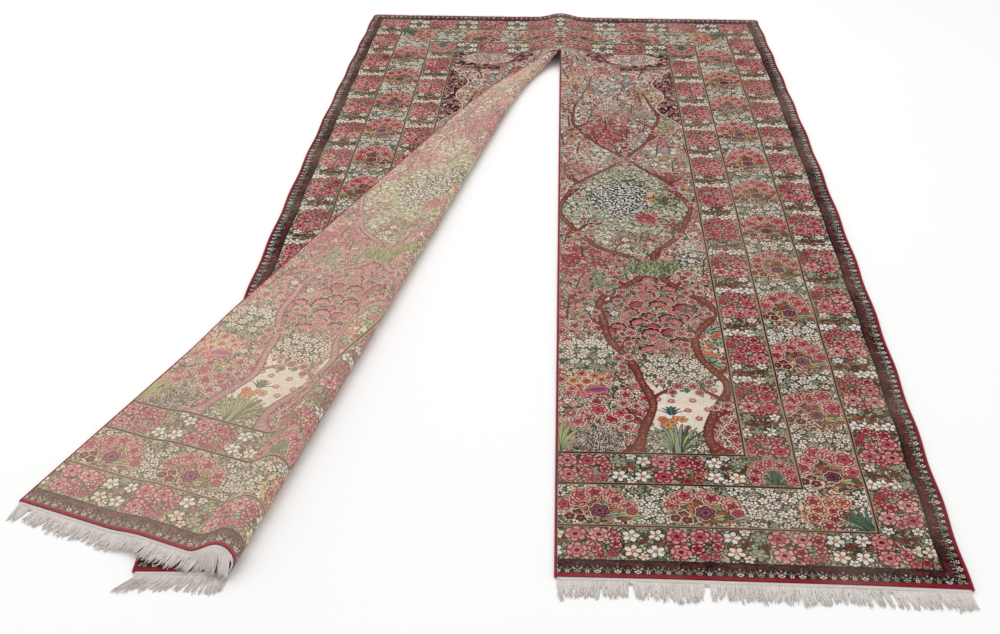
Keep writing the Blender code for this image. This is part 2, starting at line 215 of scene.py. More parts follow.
def place(u, v):
    """The middle of the sheet: flat up to the crease, half a circle round the loop there, then an even S down to
    what lies below, all lifted by the mound."""
    u, v = np.broadcast_arrays(np.asarray(u, float), np.asarray(v, float))
    flat_x, flat_y = lay_flat(u, v)
    foot, past, angle = fold_place(flat_x, flat_y)
    folded = (u < 0) & (past > 0)
    radius = mixed(LOOP_RADIUS_TOP, LOOP_RADIUS_BOTTOM, down_share(foot))
    turn = np.minimum(past / radius, math.pi)
    beyond = np.maximum(past - math.pi * radius, 0.0)
    reach = radius * np.sin(turn) - beyond
    x = np.where(folded, -crease_run(foot)[0] + reach * np.cos(angle), flat_x)
    y = np.where(folded, foot - reach * np.sin(angle), flat_y)
    descent = mixed(DESCENT_TOP, DESCENT_BOTTOM, down_share(foot))
    rest = ledge(x, y)
    fallen = rest + (2 * radius - rest) * (1 - smooth(beyond / descent))
    height = np.where(beyond > 0, fallen, radius * (1 - np.cos(turn)))
    z = LIE + np.where(folded, height, 0.0) + mound(x, y)
    return np.stack([x - CENTRE[0], y - CENTRE[1], z], axis=-1)


def unit(vectors):
    """The vectors at length one."""
    return vectors / np.maximum(np.linalg.norm(vectors, axis=-1, keepdims=True), 1e-12)


def facing(u, v, step=0.0015):
    """The sheet's unit normal at u, v: the cross product of its two directions, on the side of the pile."""
    across = place(u + step, v) - place(u - step, v)
    along = place(u, v + step) - place(u, v - step)
    return unit(np.cross(across, along))


def ripple(points):
    """A low unevenness of the lying cloth, the product of two slow waves, from 0 to 1."""
    x, y = points[..., 0], points[..., 1]
    one = np.sin(9.0 * x + 2.0 * np.sin(3.1 * y)) * np.sin(7.0 * y + 1.3 * np.sin(5.0 * x))
    two = np.sin(23.0 * x + 17.0 * y) * 0.3
    return np.clip(0.5 + 0.4 * one + 0.3 * two, 0.0, 1.0)


def v_of_row(w):
    """v at the pattern's row w: the root of w = v - PACKING * v**2 / LENGTH."""
    return LENGTH / (2 * PACKING) * (1 - np.sqrt(np.maximum(1 - 4 * PACKING * w / LENGTH, 0.0)))


# --- Meshes ---


def clear_object(name):
    """Removes an older object of this name, with its data."""
    old = bpy.data.objects.get(name)
    if old is not None:
        bpy.data.batch_remove((old, old.data))


def link_object(name, data):
    """Puts a new object in the scene."""
    item = bpy.data.objects.new(name, data)
    bpy.context.scene.collection.objects.link(item)
    return item


def mesh_object(name, points, faces, crease):
    """A mesh piece at the origin from points of shape (n, 3) and quads of shape (m, 4), shaded smooth except
    across edges that turn by more than crease."""
    clear_object(name)
    mesh = bpy.data.meshes.new(name)
    mesh.vertices.add(len(points))
    mesh.vertices.foreach_set("co", np.ascontiguousarray(points, np.float32).ravel())
    mesh.loops.add(faces.size)
    mesh.loops.foreach_set("vertex_index", np.ascontiguousarray(faces, np.int32).ravel())
    mesh.polygons.add(len(faces))
    mesh.polygons.foreach_set("loop_start", np.arange(0, faces.size, 4, dtype=np.int32))
    mesh.polygons.foreach_set("use_smooth", np.ones(len(faces), bool))
    mesh.update(calc_edges=True)
    mesh.validate()
    mesh.set_sharp_from_angle(angle=crease)
    return link_object(name, mesh)


def grid_faces(rows, columns, start=0, wrap=False):
    """The quads of a grid of rows x columns points, closed across when wrap is true."""
    index = start + np.arange(rows * columns).reshape(rows, columns)
    right = np.roll(index, -1, axis=1) if wrap else index[:, 1:]
    left = index if wrap else index[:, :-1]
    return np.stack([left[:-1], right[:-1], right[1:], left[1:]], axis=-1).reshape(-1, 4)


def add_map(mesh, name, corners):
    """Gives the mesh a map from two numbers for each corner of each face."""
    layer = mesh.uv_layers.new(name=name)
    layer.uv.foreach_set("vector", np.ascontiguousarray(corners, np.float32).ravel())


def add_attribute(mesh, name, domain, values):
    """Gives the mesh a vector for each face, corner or point."""
    layer = mesh.attributes.new(name, "FLOAT_VECTOR", domain)
    layer.data.foreach_set("vector", np.ascontiguousarray(values, np.float32).ravel())


# --- Inks and motifs ---

DYES = (  # name, then red, green and blue of the wool, 0 to 255, as the eye sees them
    ("night", 38, 22, 20),
    ("navy", 44, 42, 56),
    ("maroon", 88, 28, 34),
    ("crimson", 146, 34, 48),
    ("rose", 184, 74, 90),
    ("pink", 209, 124, 128),
    ("blush", 225, 172, 162),
    ("ivory", 238, 220, 200),
    ("white", 236, 231, 222),
    ("sand", 204, 172, 148),
    ("tan", 166, 134, 110),
    ("olive", 112, 108, 78),
    ("moss", 80, 97, 72),
    ("bottle", 46, 62, 52),
    ("teal", 70, 116, 106),
    ("sage", 150, 160, 136),
    ("lime", 174, 177, 122),
    ("sky", 160, 170, 173),
    ("lilac", 190, 164, 172),
    ("mauve", 142, 80, 110),
    ("rust", 166, 86, 60),
    ("orange", 212, 116, 74),
    ("amber", 216, 166, 102),
    ("bark", 120, 56, 45),
    ("bark_light", 152, 104, 82),
    ("brown", 84, 50, 40),
    ("slate", 100, 99, 96),
    ("wine", 112, 34, 44),
    ("coral", 212, 128, 110),
    ("peach", 234, 194, 166),
    ("dark_olive", 76, 60, 46),
    ("selvedge", 148, 24, 46),
)
INK = {row[0]: number for number, row in enumerate(DYES)}
BASE = len(DYES)  # the inks are digits to this base


OUTLINE, HALO = 1.4, 2.6  # how far outside a motif its line and the line round that reach, in knots


def inks(names):
    """The inks of dyes given as one string of names."""
    return np.array([INK[name] for name in names.split()])


def pick(choices, lot):
    """One of the inks in choices for each lot, which runs from 0 to 1."""
    return choices[np.minimum((lot * len(choices)).astype(int), len(choices) - 1)]


def layered(*layers):
    """The ink of the last layer that holds at each knot, or -1 where none does. A layer is (where, ink)."""
    found = np.full(layers[0][0].shape, -1)
    for where, ink in layers:
        found = np.where(where, ink, found)
    return found


def outlined(layers, r, edge, thin, line, halo):
    """The layers over a line just outside the radius edge, and over a second line in the ink halo, if one is named."""
    lines = [(r < edge + OUTLINE * thin, line)]
    if halo:
        lines.insert(0, (r < edge + HALO * thin, INK[halo]))
    return layered(*lines, *layers)


def blossom(petals, body, eye="amber", notch=0.38, line="night", eye_size=0.3, halo=None):
    """An open flower: its radius dips between petals as |cos(petals * angle / 2)| does, with a line there. halo is
    the ink of a second line outside it. As in all motifs, draw() takes places in the motif's own size, as x, y and
    as radius and angle, a lot from 0 to 1, and thin, a knot's width."""
    body, eyes, line = inks(body), inks(eye), INK[line]

    def draw(x, y, r, a, lot, thin):
        lobe = np.abs(np.cos(a * petals / 2))
        edge = 1 - notch * (1 - lobe)
        layers = [
            (r < edge, pick(body, lot)),
            ((r < edge) & (lobe < 0.28) & (r > eye_size), line),
            (r < eye_size + thin * 0.5, line),
            (r < eye_size, pick(eyes, 1 - lot)),
        ]
        return outlined(layers, r, edge, thin, line, halo)

    return draw


def rose(petals, outer, inner, heart="wine", line="wine", halo=None, light="blush"):
    """A full flower: three scalloped rings one inside the other, turned against each other, round a dark heart.
    light is the ink along the rim of the outer petals of a big one."""
    outer, inner, heart, line, light = inks(outer), inks(inner), INK[heart], INK[line], INK[light]

    def draw(x, y, r, a, lot, thin):
        lobe = np.abs(np.cos(a * petals / 2))
        edge = 1 - 0.22 * (1 - lobe)
        middle = 0.6 - 0.14 * lobe
        layers = [
            (r < edge, pick(outer, lot)),
            ((r < edge - 1.2 * thin) & (r > edge - 3.0 * thin) & (lobe > 0.6) & (thin < 0.15), light),
            ((r < edge) & (lobe < 0.26), line),
            (r < middle + thin, line),
            (r < middle, pick(inner, 1 - lot)),
            ((r < middle) & (np.abs(np.sin(a * petals / 2 + 0.5)) < 0.3), pick(outer, lot)),
            (r < 0.25, heart),
        ]
        return outlined(layers, r, edge, thin, line, halo)

    return draw


def fan_flower(tips, body, calyx="teal", lobes=7):
    """A flower seen from the side: petals spread over the upper half, dark at their tips, on a green calyx."""
    tips, body, calyx = inks(tips), inks(body), INK[calyx]

    def draw(x, y, r, a, lot, thin):
        spoke = np.abs(np.cos((a - math.pi / 2) * lobes / 2 * 1.15))
        reach = 0.78 + 0.2 * spoke
        open_side = (y > -0.15) & (r < reach)
        return layered(
            ((y > -0.15) & (r < reach + 1.5 * thin) & (thin < 0.12), INK["blush"]),
            ((r < 0.55) & (y < 0.05) & (np.abs(x) < 0.5 + 0.6 * y), calyx),
            (open_side, pick(body, lot)),
            (open_side & (r > 0.52 + 0.25 * np.abs(x)), pick(tips, lot)),
            (open_side & (spoke < 0.36) & (r > 0.25), INK["maroon"]),
            ((r < 0.26) & (y > -0.1), pick(body, 1 - lot)),
        )

    return draw


def leaf(body, vein="bottle", slim=0.34, line=None):
    """A leaf that points along x: its half width is slim * (1 - x * x), with a vein down its middle."""
    body, vein = inks(body), INK[vein]

    def draw(x, y, r, a, lot, thin):
        edge = slim * (1 - x * x)
        layers = [(np.abs(y) < edge, pick(body, lot)), ((np.abs(y) < thin * 0.6) & (x < 0.6) & (np.abs(x) < 1), vein)]
        if line:
            layers.insert(0, ((np.abs(y) < edge + thin) & (np.abs(x) < 1 + thin), INK[line]))
        return layered(*layers)

    return draw


def blades(count, body, line="bottle", width=0.3, fall=0.9):
    """A clump of grass: blade k leaves the root at its own angle and bends outwards and down as a parabola; a
    point is on it where its distance across is less than a half width that shrinks towards the tip."""
    body, line = inks(body), INK[line]
    leans = np.linspace(-1.0, 1.0, count)

    def draw(x, y, r, a, lot, thin):
        found = np.full(x.shape, -1)
        for number, lean in enumerate(leans[np.argsort(-np.abs(leans))]):
            tall = 1.0 - 0.45 * lean * lean
            step = np.clip(y / tall, 0, 1)
            away = np.abs(x - lean * (0.35 * step + fall * step * step * 0.6))
            half = width * (1 - step) ** 0.7 * 2 / count + thin * 0.4
            rises = (y > 0) & (y < tall)
            found = np.where(rises & (away < half + thin), line, found)
            found = np.where(rises & (away < half), body[number % len(body)], found)
        return found

    return draw


def tulip(body, edge="rose", line="wine"):
    """A closed flower on its side: a lens along x with stripes that follow its outline."""
    body, edge, line = inks(body), INK[edge], INK[line]

    def draw(x, y, r, a, lot, thin):
        width = 0.62 * (1 - np.abs(x) ** 2.2)
        return layered(
            (np.abs(y) < width + thin, line),
            (np.abs(y) < width, edge),
            (np.abs(y) < width * 0.62, pick(body, lot)),
            ((np.abs(y) < thin * 0.6) & (x > -0.4) & (x < 0.7), line),
        )

    return draw


def dab(body, slim=0.5):
    """A fleck of wool: a short oval."""
    body = inks(body)
    return lambda x, y, r, a, lot, thin: layered((x * x + (y / slim) ** 2 < 1, pick(body, lot)))


class Loom:
    """The chart that the rug is knotted from, one ink for each knot: rows along the rug from the near end,
    columns across it from the slit to the side. The other half mirrors it."""

    barks = inks("bark bark_light")

    def __init__(self, seed):
        self.chance = np.random.default_rng(seed)
        rows, columns = FACE_ROWS * KNOTS_ALONG, FACE_COLUMNS * KNOTS_ACROSS
        self.ink = np.full((rows, columns), INK["sand"])
        self.u, self.w = np.meshgrid((np.arange(columns) + 0.5) * KNOT, (np.arange(rows) + 0.5) * ROW)
        self.from_end = np.minimum(self.w, PATTERN_LENGTH - self.w)
        self.slow = self.waves(0.05)
        self.quick = self.waves(0.012)

    def waves(self, length):
        """A smooth field from about -1 to 1: a quarter of the sum of eight waves in random directions."""
        total = np.zeros(self.u.shape)
        for _ in range(8):
            angle, phase = self.chance.uniform(0, 2 * math.pi, 2)
            scale = 2 * math.pi / (length * self.chance.uniform(0.7, 1.5))
            total += np.sin(scale * (self.u * math.cos(angle) + self.w * math.sin(angle)) + phase)
        return total / 4

    def fill(self, where, names):
        """Lays the ground: one ink, or several in drifts."""
        choices = inks(names)
        drift = np.clip(0.5 + 0.5 * self.slow + 0.25 * self.quick, 0, 0.999)
        self.ink[where] = pick(choices, drift)[where]

    def oval(self, u, w, half_u, half_w, rough=0.12):
        """Where the oval at u, w reaches, its rim pushed in and out by the quick waves."""
        return np.hypot((self.u - u) / half_u, (self.w - w) / half_w) < 1 + rough * self.quick

    def scatter(self, where, pitch, jitter=0.32):
        """Points on a triangular net of this pitch, each moved by chance, that fall inside where, in chance order."""
        rows, columns = np.flatnonzero(where.any(axis=1)), np.flatnonzero(where.any(axis=0))
        if not len(rows):
            return np.zeros((0, 2))
        across = np.arange(columns[0] * KNOT - pitch, columns[-1] * KNOT + pitch, pitch)
        along = np.arange(rows[0] * ROW - pitch, rows[-1] * ROW + pitch, pitch * 0.87)
        u, w = np.meshgrid(across, along)
        u[1::2] += pitch / 2
        points = np.column_stack([u.ravel(), w.ravel()])
        points += self.chance.uniform(-jitter, jitter, points.shape) * pitch
        column = np.floor(points[:, 0] / KNOT).astype(int)
        row = np.floor(points[:, 1] / ROW).astype(int)
        inside = (column >= 0) & (row >= 0) & (column < where.shape[1]) & (row < where.shape[0])
        inside[inside] = where[row[inside], column[inside]]
        return self.chance.permutation(points[inside])

    def sow(self, at, size, draw, turn=None, *, where):
        """Draws one motif at each point: size is its radius, turn its angle, by chance if none is given. It shows
        only inside where."""
        at = np.atleast_2d(np.asarray(at, float))
        if not len(at):
            return
        size = np.broadcast_to(np.asarray(size, float), len(at))
        turn = self.chance.uniform(0, 2 * math.pi, len(at)) if turn is None else np.broadcast_to(turn, len(at))
        lot = self.chance.uniform(0, 1, len(at))
        reach = int(math.ceil(size.max() / KNOT)) + 2
        steps = np.arange(-reach, reach + 1)
        column, row = np.broadcast_arrays(
            np.rint(at[:, 0] / KNOT - 0.5).astype(int)[:, None, None] + steps[None, None, :],
            np.rint(at[:, 1] / ROW - 0.5).astype(int)[:, None, None] + steps[None, :, None],
        )
        size, turn, lot = (value[:, None, None] for value in (size, turn, lot))
        right = (column + 0.5) * KNOT - at[:, 0, None, None]
        ahead = (row + 0.5) * ROW - at[:, 1, None, None]
        x = (right * np.cos(turn) + ahead * np.sin(turn)) / size
        y = (ahead * np.cos(turn) - right * np.sin(turn)) / size
        lot = np.broadcast_to(lot, x.shape)
        found = draw(x, y, np.hypot(x, y), np.arctan2(y, x), lot, KNOT / size)
        rows, columns = self.ink.shape
        seen = (found >= 0) & (column >= 0) & (row >= 0) & (column < columns) & (row < rows)
        seen &= where[np.clip(row, 0, rows - 1), np.clip(column, 0, columns - 1)]
        self.ink[row[seen], column[seen]] = found[seen]

    def stroke(self, line, width, ink, edge=None, light=None, *, where):
        """Draws a stem along the points of line: every knot nearer to it than half its width there, with a darker
        edge, and lighter flecks along its middle."""
        line = np.asarray(line, float)
        width = np.broadcast_to(np.asarray(width, float), len(line))
        for (start, stop), (thick_a, thick_b) in zip(zip(line, line[1:]), zip(width, width[1:])):
            reach = max(thick_a, thick_b) + 2 * KNOT
            low, high = np.minimum(start, stop) - reach, np.maximum(start, stop) + reach
            columns = slice(max(int(low[0] / KNOT), 0), max(int(high[0] / KNOT) + 1, 0))
            rows = slice(max(int(low[1] / ROW), 0), max(int(high[1] / ROW) + 1, 0))
            u, w = self.u[rows, columns], self.w[rows, columns]
            if not u.size:
                continue
            way = stop - start
            share = np.clip(((u - start[0]) * way[0] + (w - start[1]) * way[1]) / (way @ way), 0, 1)
            away = np.hypot(u - start[0] - share * way[0], w - start[1] - share * way[1])
            half = mixed(thick_a, thick_b, share) / 2
            allowed = where[rows, columns]
            inside, part = allowed & (away < half), self.ink[rows, columns]
            if edge is not None:
                ring = allowed & (away >= half) & (away < half + 1.5 * KNOT) & ~np.isin(part, self.barks)
                part[ring] = INK[edge]
            part[inside] = INK[ink]
            if light is not None:
                part[inside & (away < half * 0.55) & (self.quick[rows, columns] > -0.1)] = INK[light]


def smooth_line(points, count):
    """count points along a smooth curve through points: a cubic in each stretch, with the chord's slopes."""
    points = np.asarray(points, float)
    slopes = np.gradient(points, axis=0)
    at = np.linspace(0, len(points) - 1, count)
    first = np.minimum(at.astype(int), len(points) - 2)
    t = (at - first)[:, None]
    a, b, sa, sb = points[first], points[first + 1], slopes[first], slopes[first + 1]
    return (
        a * (2 * t**3 - 3 * t**2 + 1) + sa * (t**3 - 2 * t**2 + t) + b * (3 * t**2 - 2 * t**3) + sb * (t**3 - t**2)
    )


# --- The rug's pattern ---

END_LINE, GUARD, OUTER, MIDDLE, INNER = 0.0085, 0.041, 0.13, 0.246, 0.338  # where each band ends, from the edge
BLOCK, PINK_SHARE = 0.178, 0.58  # length of a pink and a white block, and the pink one's share of it
LOOSE, LOOSE_TURN = 0.0015, 1.2  # how far chance moves and turns the blocks' flowers, in metres and radians
FLECK, TWIG = 0.0026, 0.0026  # radius of a fleck, width of a twig
CROWN = (0.222, 1.04)  # where the stems meet
FIRST_LOOP, SECOND_LOOP, LOOP_LENGTH, LOOPS_MIDDLE = 1.05, 1.63, 0.58, 0.19  # the stems' half waves above the crown
TOP = PATTERN_LENGTH - INNER  # where the field ends


def meadow(loom, where, ground, flowers, leaves="moss teal olive", leaf_pitch=0.0105, flecks=None, leaf_size=0.0068):
    """Fills a bed: ground in drifts, leaves at random angles, then flowers of each kind on a net of their own.
    A kind is its motif, its least and greatest radius and its pitch."""
    sow = functools.partial(loom.sow, where=where)
    loom.fill(where, ground)
    at = loom.scatter(where, leaf_pitch)
    sow(at, leaf_size * loom.chance.uniform(0.8, 1.2, len(at)), leaf(leaves, "bottle", 0.36))
    if flecks:
        sow(loom.scatter(where, leaf_pitch * 0.9), FLECK, dab(flecks))
    for draw, low, high, pitch in flowers:
        at = loom.scatter(where, pitch)
        sow(at, loom.chance.uniform(low, high, len(at)), draw)


def thicket(loom, where, ground, marks, pitch):
    """A bush of small pale leaves, close together at all angles on a dark ground."""
    loom.fill(where, ground)
    at = loom.scatter(where, pitch, 0.4)
    loom.sow(at, pitch * loom.chance.uniform(0.42, 0.62, len(at)), dab(marks), where=where)
    loom.sow(loom.scatter(where, pitch * 3.2), 0.0045, leaf("moss sage olive", "night", 0.4), where=where)


def pairs(*parts):
    """Points from their two coordinates, of which one may be a single number."""
    return np.column_stack(np.broadcast_arrays(*parts))


def guard(loom, edge):
    """The dark outer guard: pale sprigs on black outside, then dusky wine with a few small marks."""
    band = (edge >= END_LINE) & (edge < GUARD)
    loom.fill(band, "night night maroon night")
    loom.fill(band & (edge > 0.0270), "maroon night wine maroon")
    loom.fill(band & (edge > 0.0365), "night navy night")
    petal, mark = leaf("sage lilac white sage", "slate", 0.24), dab("bottle teal brown", 0.5)
    cup = blossom(4, "white ivory sage", "coral", 0.40, "night", 0.30)
    pitch, upright = 0.0345, math.pi / 2
    rows = (  # motif, way in from the edge, shift along, radius, turn against the edge
        (petal, 0.0172, 0.13, 0.0072, upright - 0.6),
        (petal, 0.0172, 0.87, 0.0072, upright + 0.6),
        (petal, 0.0192, 0.00, 0.0090, upright),
        (cup, 0.0132, 0.00, 0.0056, 0.0),
        (petal, 0.0162, 0.61, 0.0058, upright - 0.6),
        (petal, 0.0162, 0.39, 0.0058, upright + 0.6),
        (petal, 0.0176, 0.50, 0.0072, upright),
        (cup, 0.0128, 0.50, 0.0042, 0.8),
        (mark, 0.0262, 0.25, 0.0026, 0.5),
        (mark, 0.0262, 0.75, 0.0026, 2.6),
        (mark, 0.0318, 0.00, 0.0032, 0.4),
        (mark, 0.0385, 0.50, 0.0030, 0.0),
        (mark, 0.0385, 0.12, 0.0020, 0.0),
    )
    for draw, away, shift, size, turn in rows:
        u = np.arange(0.006 + shift * pitch, HALF - away * 0.7, pitch)
        w = np.arange(0.012 + shift * pitch, PATTERN_LENGTH - 0.006, pitch)
        for points, own_turn in (
            (pairs(u, away), 0.0), (pairs(u, PATTERN_LENGTH - away), math.pi), (pairs(HALF - away, w), math.pi / 2),
        ):
            loom.sow(points, size, draw, turn=turn + own_turn, where=band)


def blocks(loom, where, along, across, shift, petals, upright):
    """A band of blocks by turns: big pink flowers on a warm ground, then white flowers among rust leaves. along
    and across give each knot's place in the band, across from -1 to 1. Returns the spots of the big motifs: their
    share of a block, their place across, radius and motif."""
    phase = ((along + shift) % BLOCK) / BLOCK
    pink = where & (phase < PINK_SHARE)
    white = where & ~pink
    meadow(loom, pink, "brown coral olive sand", [], "moss teal bottle sage", 0.0098, "maroon blush ivory")
    meadow(loom, white, "olive brown sage moss", [], "olive bottle rust sage", 0.0105, "night ivory")
    corner = pink & (phase > 0.36) & (across < -0.1) & (phase < 0.53)
    meadow(loom, corner, "moss olive sage", [], "bottle sage teal", 0.010, "coral")
    big = rose(6, petals, "rose pink", "maroon", "maroon")
    red = rose(5, "pink rose coral", "crimson rose", "maroon", "maroon")
    pale = blossom(5, "white white ivory white sage", "amber coral", 0.52, "night", 0.24)
    rusty = leaf("rust bark", "night", 0.36, "brown")
    spots = [
        (0.100, 0.46, 0.0195, big), (0.325, 0.44, 0.0185, big), (0.120, -0.46, 0.0190, big),
        (0.485, 0.42, 0.0125, red), (0.290, -0.28, 0.0130, red), (0.490, -0.06, 0.0110, red),
        (0.350, -0.74, 0.0100, red), (0.470, -0.60, 0.0095, red),
    ]
    if not upright:
        return spots + [
            (0.650, 0.44, 0.0160, pale), (0.655, -0.46, 0.0160, pale), (0.885, -0.48, 0.0160, pale),
            (0.905, 0.50, 0.0145, pale), (0.775, 0.10, 0.0120, rusty), (0.775, 0.78, 0.0100, pale),
            (0.770, -0.80, 0.0100, pale), (0.960, 0.02, 0.0095, rusty),
        ]
    spots += [(0.650, t, 0.0142, pale) for t in (-0.74, -0.26, 0.24, 0.72)]
    spots += [(0.795 + 0.03 * (t > 0), t, 0.0100, rusty) for t in (-0.62, -0.34, -0.05, 0.22, 0.48)]
    return spots + [
        (0.790, 0.84, 0.0090, pale), (0.925, -0.62, 0.0110, pale), (0.930, 0.52, 0.0110, pale),
        (0.930, -0.05, 0.0095, rusty), (0.705, 0.00, 0.0090, rusty), (0.560, -0.30, 0.0105, red),
        (0.020, 0.00, 0.0110, red),
    ]


def sow_loosely(loom, points, size, draw, where):
    """Sows the points, each moved and turned a little by chance."""
    points = points + loom.chance.uniform(-LOOSE, LOOSE, points.shape)
    loom.sow(points, size, draw, turn=loom.chance.uniform(-LOOSE_TURN, LOOSE_TURN, len(points)), where=where)


def border(loom):
    """The guard, the outer and inner bands of blocks, the middle band of bouquets and the lines between them."""
    from_side, from_end = HALF - loom.u, loom.from_end
    edge = np.minimum(from_side, from_end)
    at_end = from_end < from_side
    guard(loom, edge)
    starts = np.arange(-1, int(PATTERN_LENGTH / BLOCK) + 2) * BLOCK
    for low, high, shift_end, shift_side, petals in (
        (GUARD, OUTER, -0.02, 0.03, "pink blush pink pink"), (MIDDLE, INNER, -0.006, 0.06, "pink pink rose blush"),
    ):
        centre, half = (low + high) / 2, (high - low) / 2
        band = (edge >= low) & (edge < high)
        side_band, end_band = band & ~at_end, band & at_end
        in_end = (np.where(loom.w < 1, from_end, -from_end + 2 * centre) - centre) / half
        sides = blocks(loom, side_band, loom.w, (loom.u - HALF + centre) / half, shift_side, petals, True)
        ends = blocks(loom, end_band, loom.u, in_end, shift_end, petals, False)
        for share, t, size, draw in ends:
            at = starts - shift_end + share * BLOCK
            at = at[(at > -0.02) & (at < HALF)]
            for w in (centre + t * half, PATTERN_LENGTH - centre + t * half):
                sow_loosely(loom, pairs(at, w), size, draw, end_band)
        for share, t, size, draw in sides:
            at = starts - shift_side + share * BLOCK
            sow_loosely(loom, pairs(HALF - centre + t * half, at), size, draw, side_band)
    bouquets(loom, (edge >= OUTER) & (edge < MIDDLE))
    corners(loom, (edge >= OUTER) & (edge < MIDDLE), (edge >= MIDDLE) & (edge < INNER))
    for at in (OUTER, MIDDLE, INNER):
        loom.ink[np.abs(edge - at) < 2.5 * KNOT] = INK["tan"]
        loom.ink[np.abs(edge - at) < 1.1 * KNOT] = INK["night"]
    loom.ink[np.abs(edge - GUARD) < 1.2 * KNOT] = INK["night"]
    loom.ink[edge < END_LINE] = INK["wine"]
    loom.ink[from_end < 0.65 * END_LINE] = INK["selvedge"]


def bouquets(loom, band):
    """The middle band: an arch of pink flowers on a fan of stems over a dark peony and leaves, again and again,
    and white flowers between them."""
    sow = functools.partial(loom.sow, where=band)
    daisy = blossom(5, "white ivory white sage white", "amber", 0.48, "night", 0.24)
    daisies = [(daisy, 0.0078, 0.0098, 0.0188)]
    meadow(loom, band, "sage moss sand olive", daisies, "teal moss rust bottle", 0.0105, "ivory night")
    pitch, middle = 0.19, (OUTER + MIDDLE) / 2
    peony = rose(6, "maroon mauve wine", "mauve wine", "night", "night", "peach", "mauve")
    pink = rose(5, "pink rose pink coral", "crimson rose", "wine", "maroon", "peach")
    plum = blossom(5, "wine maroon wine", "coral", 0.3, "night", 0.25, "peach")
    green = leaf("sage moss lime", "bottle", 0.42, "dark_olive")
    warm = leaf("rust coral rust", "bark", 0.32, "brown")
    ends = np.arange(0.078, HALF - 0.3, pitch)
    bases = [(u, w, False) for u in ends for w in (middle, PATTERN_LENGTH - middle)]
    bases += [(HALF - middle, w, True) for w in np.arange(0.3, PATTERN_LENGTH - 0.25, pitch)]
    for u, w, on_side in bases:
        base = np.array([u, w - 0.02])
        wide, tall = (0.05, 0.074) if on_side else (0.062, 0.052)
        angles = np.linspace(-1.2, 1.25, 7) + loom.chance.uniform(-0.12, 0.12, 7)
        reach = loom.chance.uniform(0.78, 1.04, 7)
        tips = base + pairs(np.sin(angles) * wide * reach, np.cos(angles) * tall * reach)
        bed = band & loom.oval(u, w - 0.001, wide + 0.006, tall * 0.98, 0.05)
        meadow(loom, bed, "peach sand tan sage", [], "bottle moss bottle rust", 0.01, "maroon bottle")
        for tip in tips:
            loom.stroke([base, (base + tip) / 2 + (0.002, 0.004), tip], 0.0028, "bark", "brown", where=band)
        sow((tips + base) / 2 + (0.005, 0.002), 0.0115, warm, turn=1.2 - angles * 0.8)
        sow((tips * 2 + base) / 3 - (0.006, 0.0), 0.0085, green, turn=1.6 - angles)
        sow(tips, loom.chance.uniform(0.0125, 0.017, len(tips)) + 0.002 * on_side, pink)
        sow(base + (0.004, 0.002), 0.0175 - 0.003 * on_side, peony)
        sow(base + np.array([(-0.036, -0.004), (-0.05, -0.014), (-0.03, -0.019)]), 0.0085, plum)
        sow(base + np.array([(0.03, -0.01), (0.05, -0.006), (0.066, -0.014)]), 0.0165, green, turn=0.25)
        sow(base + np.array([(0.034, 0.003), (0.016, -0.02), (0.048, -0.02)]), 0.012, warm, turn=0.1)
        sow(base + (0.062, 0.002), 0.01, pink)


def corners(loom, middle_band, inner_band):
    """Where the bands turn: orange flowers under a grassy tuft in the middle band, and pink flowers in an arc over
    grass in the inner one."""
    square = inner_band & (loom.u > HALF - INNER) & (loom.from_end < INNER)
    meadow(loom, square, "moss olive sage", [], "bottle teal sage", 0.0098, "coral")
    orange = rose(5, "coral orange rose", "crimson rust", "wine", "maroon", "peach", "peach")
    pink = rose(6, "rose pink", "crimson rose", "maroon", "maroon", "blush")
    tuft = blades(9, "moss sage teal moss", "bottle", 0.34, 0.8)
    whirl, arc = np.arange(9) * 2.4 + 0.4, np.linspace(-1.35, 1.35, 7)
    spread = np.sqrt((np.arange(9) + 0.5) / 9)
    for end, up in ((0.0, 1.0), (PATTERN_LENGTH, -1.0)):
        flip = 0.0 if up > 0 else math.pi
        heart = np.array([HALF - OUTER - 0.08, end + up * (OUTER + 0.052)])
        bed = middle_band & loom.oval(*heart, 0.052, 0.052, 0.06)
        meadow(loom, bed, "peach sand blush", [], "rust amber moss", 0.01, "maroon")
        points = heart + 0.042 * pairs(np.cos(whirl), np.sin(whirl)) * spread[:, None]
        loom.sow(points, loom.chance.uniform(0.0105, 0.0145, 9), orange, where=middle_band)
        root = np.array([HALF - OUTER - 0.006, end + up * (OUTER + 0.005)])
        loom.sow(root, 0.068, tuft, turn=math.pi / 4 + flip / 2, where=middle_band)
        base = np.array([HALF - (INNER + MIDDLE) / 2, end + up * (MIDDLE + 0.01)])
        loom.sow(base, 0.046, tuft, turn=flip, where=square)
        ring = base + pairs(np.sin(arc) * 0.038, up * np.cos(arc) * 0.058)
        loom.sow(ring, 0.014, pink, where=square)


def stem_path(w, way, low, loops, ripples, meeting):
    """A stem's u at the row w: low up to the crown and, above it, half waves that swing to the side way by the two
    widths in loops; between them it comes close to the crown's middle, from row meeting[0] on over meeting[1]."""
    loop = np.where(w < SECOND_LOOP, *loops) * np.sin(math.pi * (w - FIRST_LOOP) / LOOP_LENGTH)
    high = LOOPS_MIDDLE + way * loop + 0.004 * np.sin(w * ripples)
    beside = CROWN[0] + way * 0.018
    start, run = meeting
    return np.where(
        w < CROWN[1], mixed(low, beside, smooth((w - start) / run)), mixed(beside, high, smooth((w - CROWN[1]) / 0.1))
    )


def left_stem(w):
    """The inner stem: below the crown one slow wave."""
    low = 0.146 + 0.047 * np.cos(2 * math.pi * (w - 0.5) / 0.68) + 0.004 * np.sin(w * 41.0)
    return stem_path(w, -1, low, (0.182, 0.1), 37.0, (0.9, 0.13))


